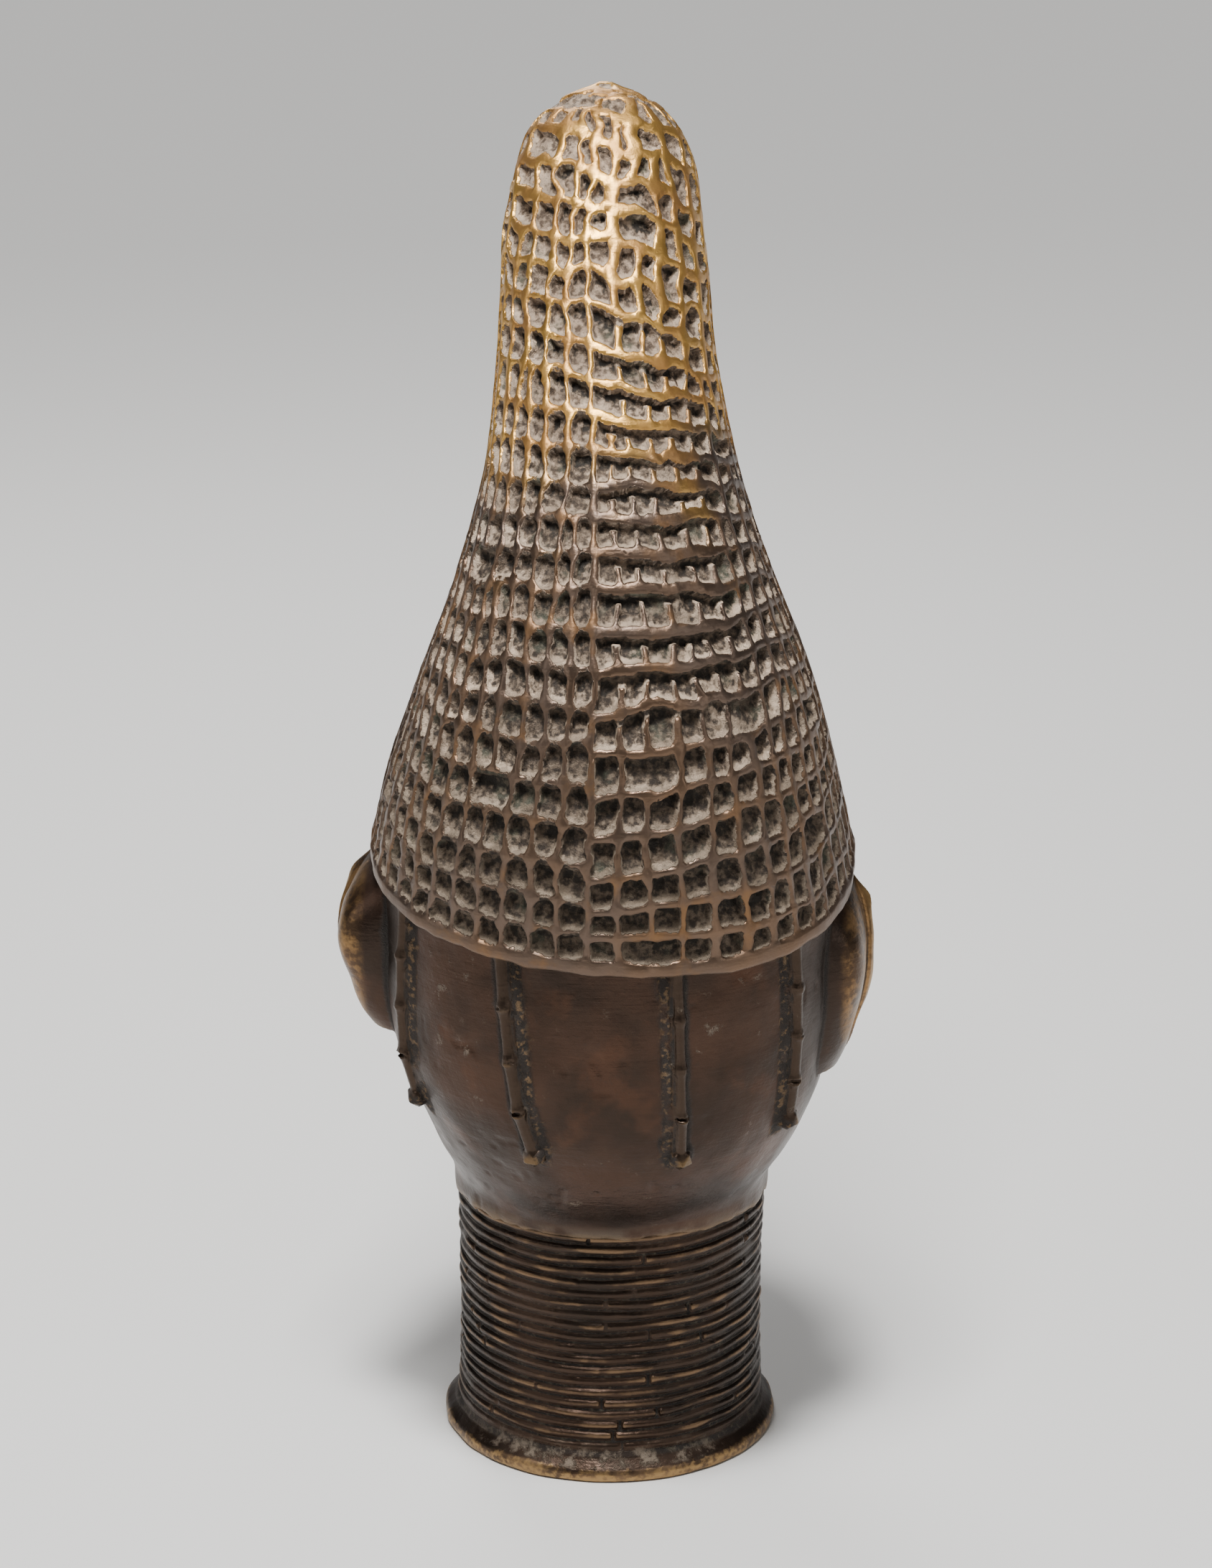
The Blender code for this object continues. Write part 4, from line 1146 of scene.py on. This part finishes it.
def skin_bronze():
    """The head's bronze: dark brown satin, reddish in places, worn on the ears, and worn with a painted
    highlight on the bead crests.
    """
    material, tree, where, noises = new_patina("skin_bronze")
    place = add_node(tree, "ShaderNodeSeparateXYZ", {"Vector": where})
    relief = attribute(tree, "relief")
    string = attribute(tree, "string")
    strip = attribute(tree, "strip")
    uneven = maths(tree, "ADD", relief, spread(tree, noises["patches"], 0.25, 0.75, -0.30, 0.30))
    pit = spread(tree, relief, -0.10, -0.80)
    ear = spread(tree, maths(tree, "ABSOLUTE", place.outputs["X"]), 0.088 * GROWTH, 0.093 * GROWTH)

    skin = spread(tree, noises["coarse"], 0.36, 0.64)
    skin = blend(tree, skin, (0.038, 0.026, 0.020), (0.064, 0.037, 0.026))
    red = maths(tree, "MULTIPLY", spread(tree, wave(tree, where, 34.0, 4.0), 0.54, 0.68), 0.45)
    skin = blend(tree, red, skin, (0.100, 0.048, 0.029))
    mottled = maths(tree, "MULTIPLY_ADD", noises["fine"], 0.5, noises["patches"])
    warm = maths(tree, "MULTIPLY", ear, spread(tree, mottled, 0.60, 0.82, 0.15, 1.0))
    skin = blend(tree, warm, skin, (0.260, 0.150, 0.065))
    skin = blend(tree, spread(tree, noises["fine"], 0.58, 0.72, 0.0, 0.35), skin, (0.045, 0.032, 0.026))
    worn = maths(tree, "MULTIPLY", spread(tree, uneven, 0.30, 1.20), spread(tree, ear, 0.0, 1.0, 0.20, 0.85))
    skin = blend(tree, worn, skin, (0.46, 0.29, 0.12))
    rust = blend(tree, spread(tree, noises["fine"], 0.50, 0.64), (0.025, 0.018, 0.014), (0.150, 0.092, 0.046))
    rusty = maths(tree, "MULTIPLY", strip, spread(tree, noises["patches"], 0.30, 0.48))
    skin = blend(tree, rusty, skin, rust)
    # Bead crests lighter: partly wear, partly a painted highlight.
    bead = blend(tree, spread(tree, uneven, 1.25, 2.50), (0.052, 0.035, 0.025), (0.25, 0.155, 0.075))
    skin = blend(tree, string, skin, bead)
    skin = blend(tree, maths(tree, "MULTIPLY", pit, 0.85), skin, (0.022, 0.018, 0.015))
    crust = maths(tree, "MULTIPLY", spread(tree, wave(tree, where, 130.0, 6.0, 0.7), 0.60, 0.70), 0.5)
    lip = spread(tree, place.outputs["Z"], (COLLAR_HEIGHT + 0.006) * GROWTH, (COLLAR_HEIGHT + 0.001) * GROWTH)
    lip = maths(tree, "MULTIPLY", lip, spread(tree, noises["patches"], 0.38, 0.58))
    crust = maths(tree, "MULTIPLY", crust, spread(tree, noises["coarse"], 0.46, 0.60))
    crust = maths(tree, "MAXIMUM", crust, maths(tree, "MULTIPLY", lip, 0.28))
    colour = blend(tree, crust, skin, (0.25, 0.20, 0.15))
    matt = maths(tree, "MAXIMUM", maths(tree, "MULTIPLY", pit, 0.8), crust)
    matt = maths(tree, "MAXIMUM", matt, maths(tree, "MULTIPLY", maths(tree, "SUBTRACT", rusty, string), 0.8))
    finish_patina(tree, noises, colour, matt, 0.36, 0.85, 0.15)
    return material


def collar_bronze():
    """The collar's bronze: fine crests, worn and with a painted highlight, over dark grainy grooves, and a
    gilt, crusted foot flange.
    """
    material, tree, where, noises = new_patina("collar_bronze")
    place = add_node(tree, "ShaderNodeSeparateXYZ", {"Vector": where})
    height = place.outputs["Z"]
    relief = attribute(tree, "relief")
    uneven = maths(tree, "ADD", relief, spread(tree, noises["patches"], 0.25, 0.75, -0.20, 0.20))
    groove = spread(tree, relief, -0.10, -0.70)
    flange = spread(tree, height, 0.0095 * GROWTH, 0.0065 * GROWTH)

    skin = spread(tree, noises["coarse"], 0.38, 0.62)
    skin = blend(tree, skin, (0.036, 0.026, 0.020), (0.054, 0.034, 0.024))
    # Crests lighter: partly wear, partly a painted highlight along each ring's crest.
    crest = spread(tree, noises["patches"], 0.35, 0.60, 0.20, 0.8)
    crest = maths(tree, "MULTIPLY", spread(tree, uneven, 0.48, 0.84), crest)
    skin = blend(tree, crest, skin, (0.20, 0.125, 0.070))
    dirt = blend(tree, spread(tree, noises["fine"], 0.50, 0.66), (0.014, 0.011, 0.009), (0.070, 0.058, 0.040))
    skin = blend(tree, groove, skin, dirt)
    thin = maths(tree, "ADD", uneven, spread(tree, noises["fine"], 0.3, 0.7, -0.35, 0.35))
    gilt = maths(tree, "MULTIPLY", flange, spread(tree, thin, 0.60, 1.30))
    skin = blend(tree, gilt, skin, (0.34, 0.215, 0.095))
    behind = spread(tree, place.outputs["Y"], 0.030 * GROWTH, 0.058 * GROWTH)
    crust = maths(tree, "MULTIPLY", spread(tree, height, 0.016 * GROWTH, 0.008 * GROWTH), behind)
    flakes = spread(tree, wave(tree, where, 170.0, 6.0, 0.7), 0.46, 0.62, 0.0, 0.8)
    crust = maths(tree, "MULTIPLY", crust, flakes)
    crust = maths(tree, "MULTIPLY", crust, spread(tree, uneven, 0.60, 0.10))
    colour = blend(tree, crust, skin, (0.24, 0.19, 0.14))
    matt = maths(tree, "MAXIMUM", maths(tree, "MULTIPLY", groove, 0.9), crust)
    finish_patina(tree, noises, colour, matt, 0.38, 0.80, 0.20)
    return material


def pale_floor():
    """The plain pale floor that the bust stands on."""
    material = bpy.data.materials.new("floor")
    material.use_nodes = True
    shader = material.node_tree.nodes["Principled BSDF"]
    shader.inputs["Base Color"].default_value = (0.74, 0.73, 0.71, 1.0)
    shader.inputs["Roughness"].default_value = 0.75
    reach = 40.0
    corners = [(-reach, -reach, 0), (reach, -reach, 0), (reach, reach, 0), (-reach, reach, 0)]
    floor = mesh_object("floor", corners, [(0, 1, 2, 3)])
    floor.data.materials.append(material)


# Light and camera


def softbox(name, place, target, size, power):
    """A soft square light that faces a point."""
    light = bpy.data.lights.new(name, "AREA")
    light.shape = "SQUARE"
    light.size = size
    light.energy = power
    holder = bpy.data.objects.new(name, light)
    holder.location = place
    holder.rotation_euler = (Vector(target) - Vector(place)).to_track_quat("-Z", "Y").to_euler()
    bpy.context.scene.collection.objects.link(holder)


def studio():
    """Soft light that comes mostly from high above the nape, with low fill from the sides and the front."""
    world = bpy.data.worlds.new("studio")
    world.use_nodes = True
    background = world.node_tree.nodes["Background"]
    background.inputs["Color"].default_value = (0.82, 0.82, 0.84, 1.0)
    background.inputs["Strength"].default_value = 0.11
    bpy.context.scene.world = world
    sky = bpy.data.lights.new("overhead", "SUN")
    sky.energy = 2.5
    sky.angle = math.radians(9)
    overhead = bpy.data.objects.new("overhead", sky)
    overhead.rotation_euler = (math.radians(-13), 0, 0)
    bpy.context.scene.collection.objects.link(overhead)
    softbox("key", (0.05, 0.42, 1.35), (0, 0.0, 0.36), 0.35, 17.0)
    softbox("left", (1.10, 0.70, 0.75), (0, 0, 0.22), 0.6, 2.5)
    softbox("right", (-1.10, 0.60, 0.75), (0, 0, 0.22), 0.6, 2.5)
    softbox("front", (0.35, -1.10, 1.15), (0, 0, 0.22), 0.5, 9.0)


def photo_camera():
    """The camera where the photograph was taken from: behind the bust, above it and a little to its right."""
    lens = bpy.data.cameras.new("camera")
    lens.lens = 110.4
    lens.sensor_width = 36.0
    camera = bpy.data.objects.new("camera", lens)
    heading = math.radians(186.0)
    tilt = math.radians(19.17)
    distance, height, aside = 1.70, 0.85, 0.0016
    right = Vector((math.cos(heading), math.sin(heading), 0))
    back = Vector((math.sin(heading), -math.cos(heading), 0))
    camera.location = back * distance + Vector((0, 0, height)) - right * aside
    camera.rotation_euler = (math.radians(90) - tilt, 0, heading)
    bpy.context.scene.collection.objects.link(camera)
    bpy.context.scene.camera = camera


COLLAR_FINISH = collar_bronze()
HEAD_FINISH = skin_bronze()
rings = collar_rings(COLLAR_FINISH)
collar = melted("bronze_bust_collar", [collar_core(), rings], MELT_STEP, COLLAR_TRIANGLES)
ears = [ear(1, EAR_TOP, EAR_HEIGHT, EAR_WIDTH), ear(-1, LONG_EAR_TOP, LONG_EAR_HEIGHT, LONG_EAR_WIDTH)]
face = melted("bronze_bust_head", [head(), *ears, *bead_strings(HEAD_FINISH)], MELT_STEP, HEAD_TRIANGLES)
store_nearness(face.data)
cap = netted_cap()
cap.name = "bronze_bust_cap"
thinned(cap, CAP_TRIANGLES)
for piece, finish in ((collar, COLLAR_FINISH), (face, HEAD_FINISH), (cap, net_bronze())):
    piece.data.transform(Matrix.Scale(GROWTH, 4))
    piece.data.shade_smooth()
    piece.data.materials.clear()
    piece.data.materials.append(finish)
    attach(piece, "root")
    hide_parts("bronze_bust")

pale_floor()
studio()
photo_camera()
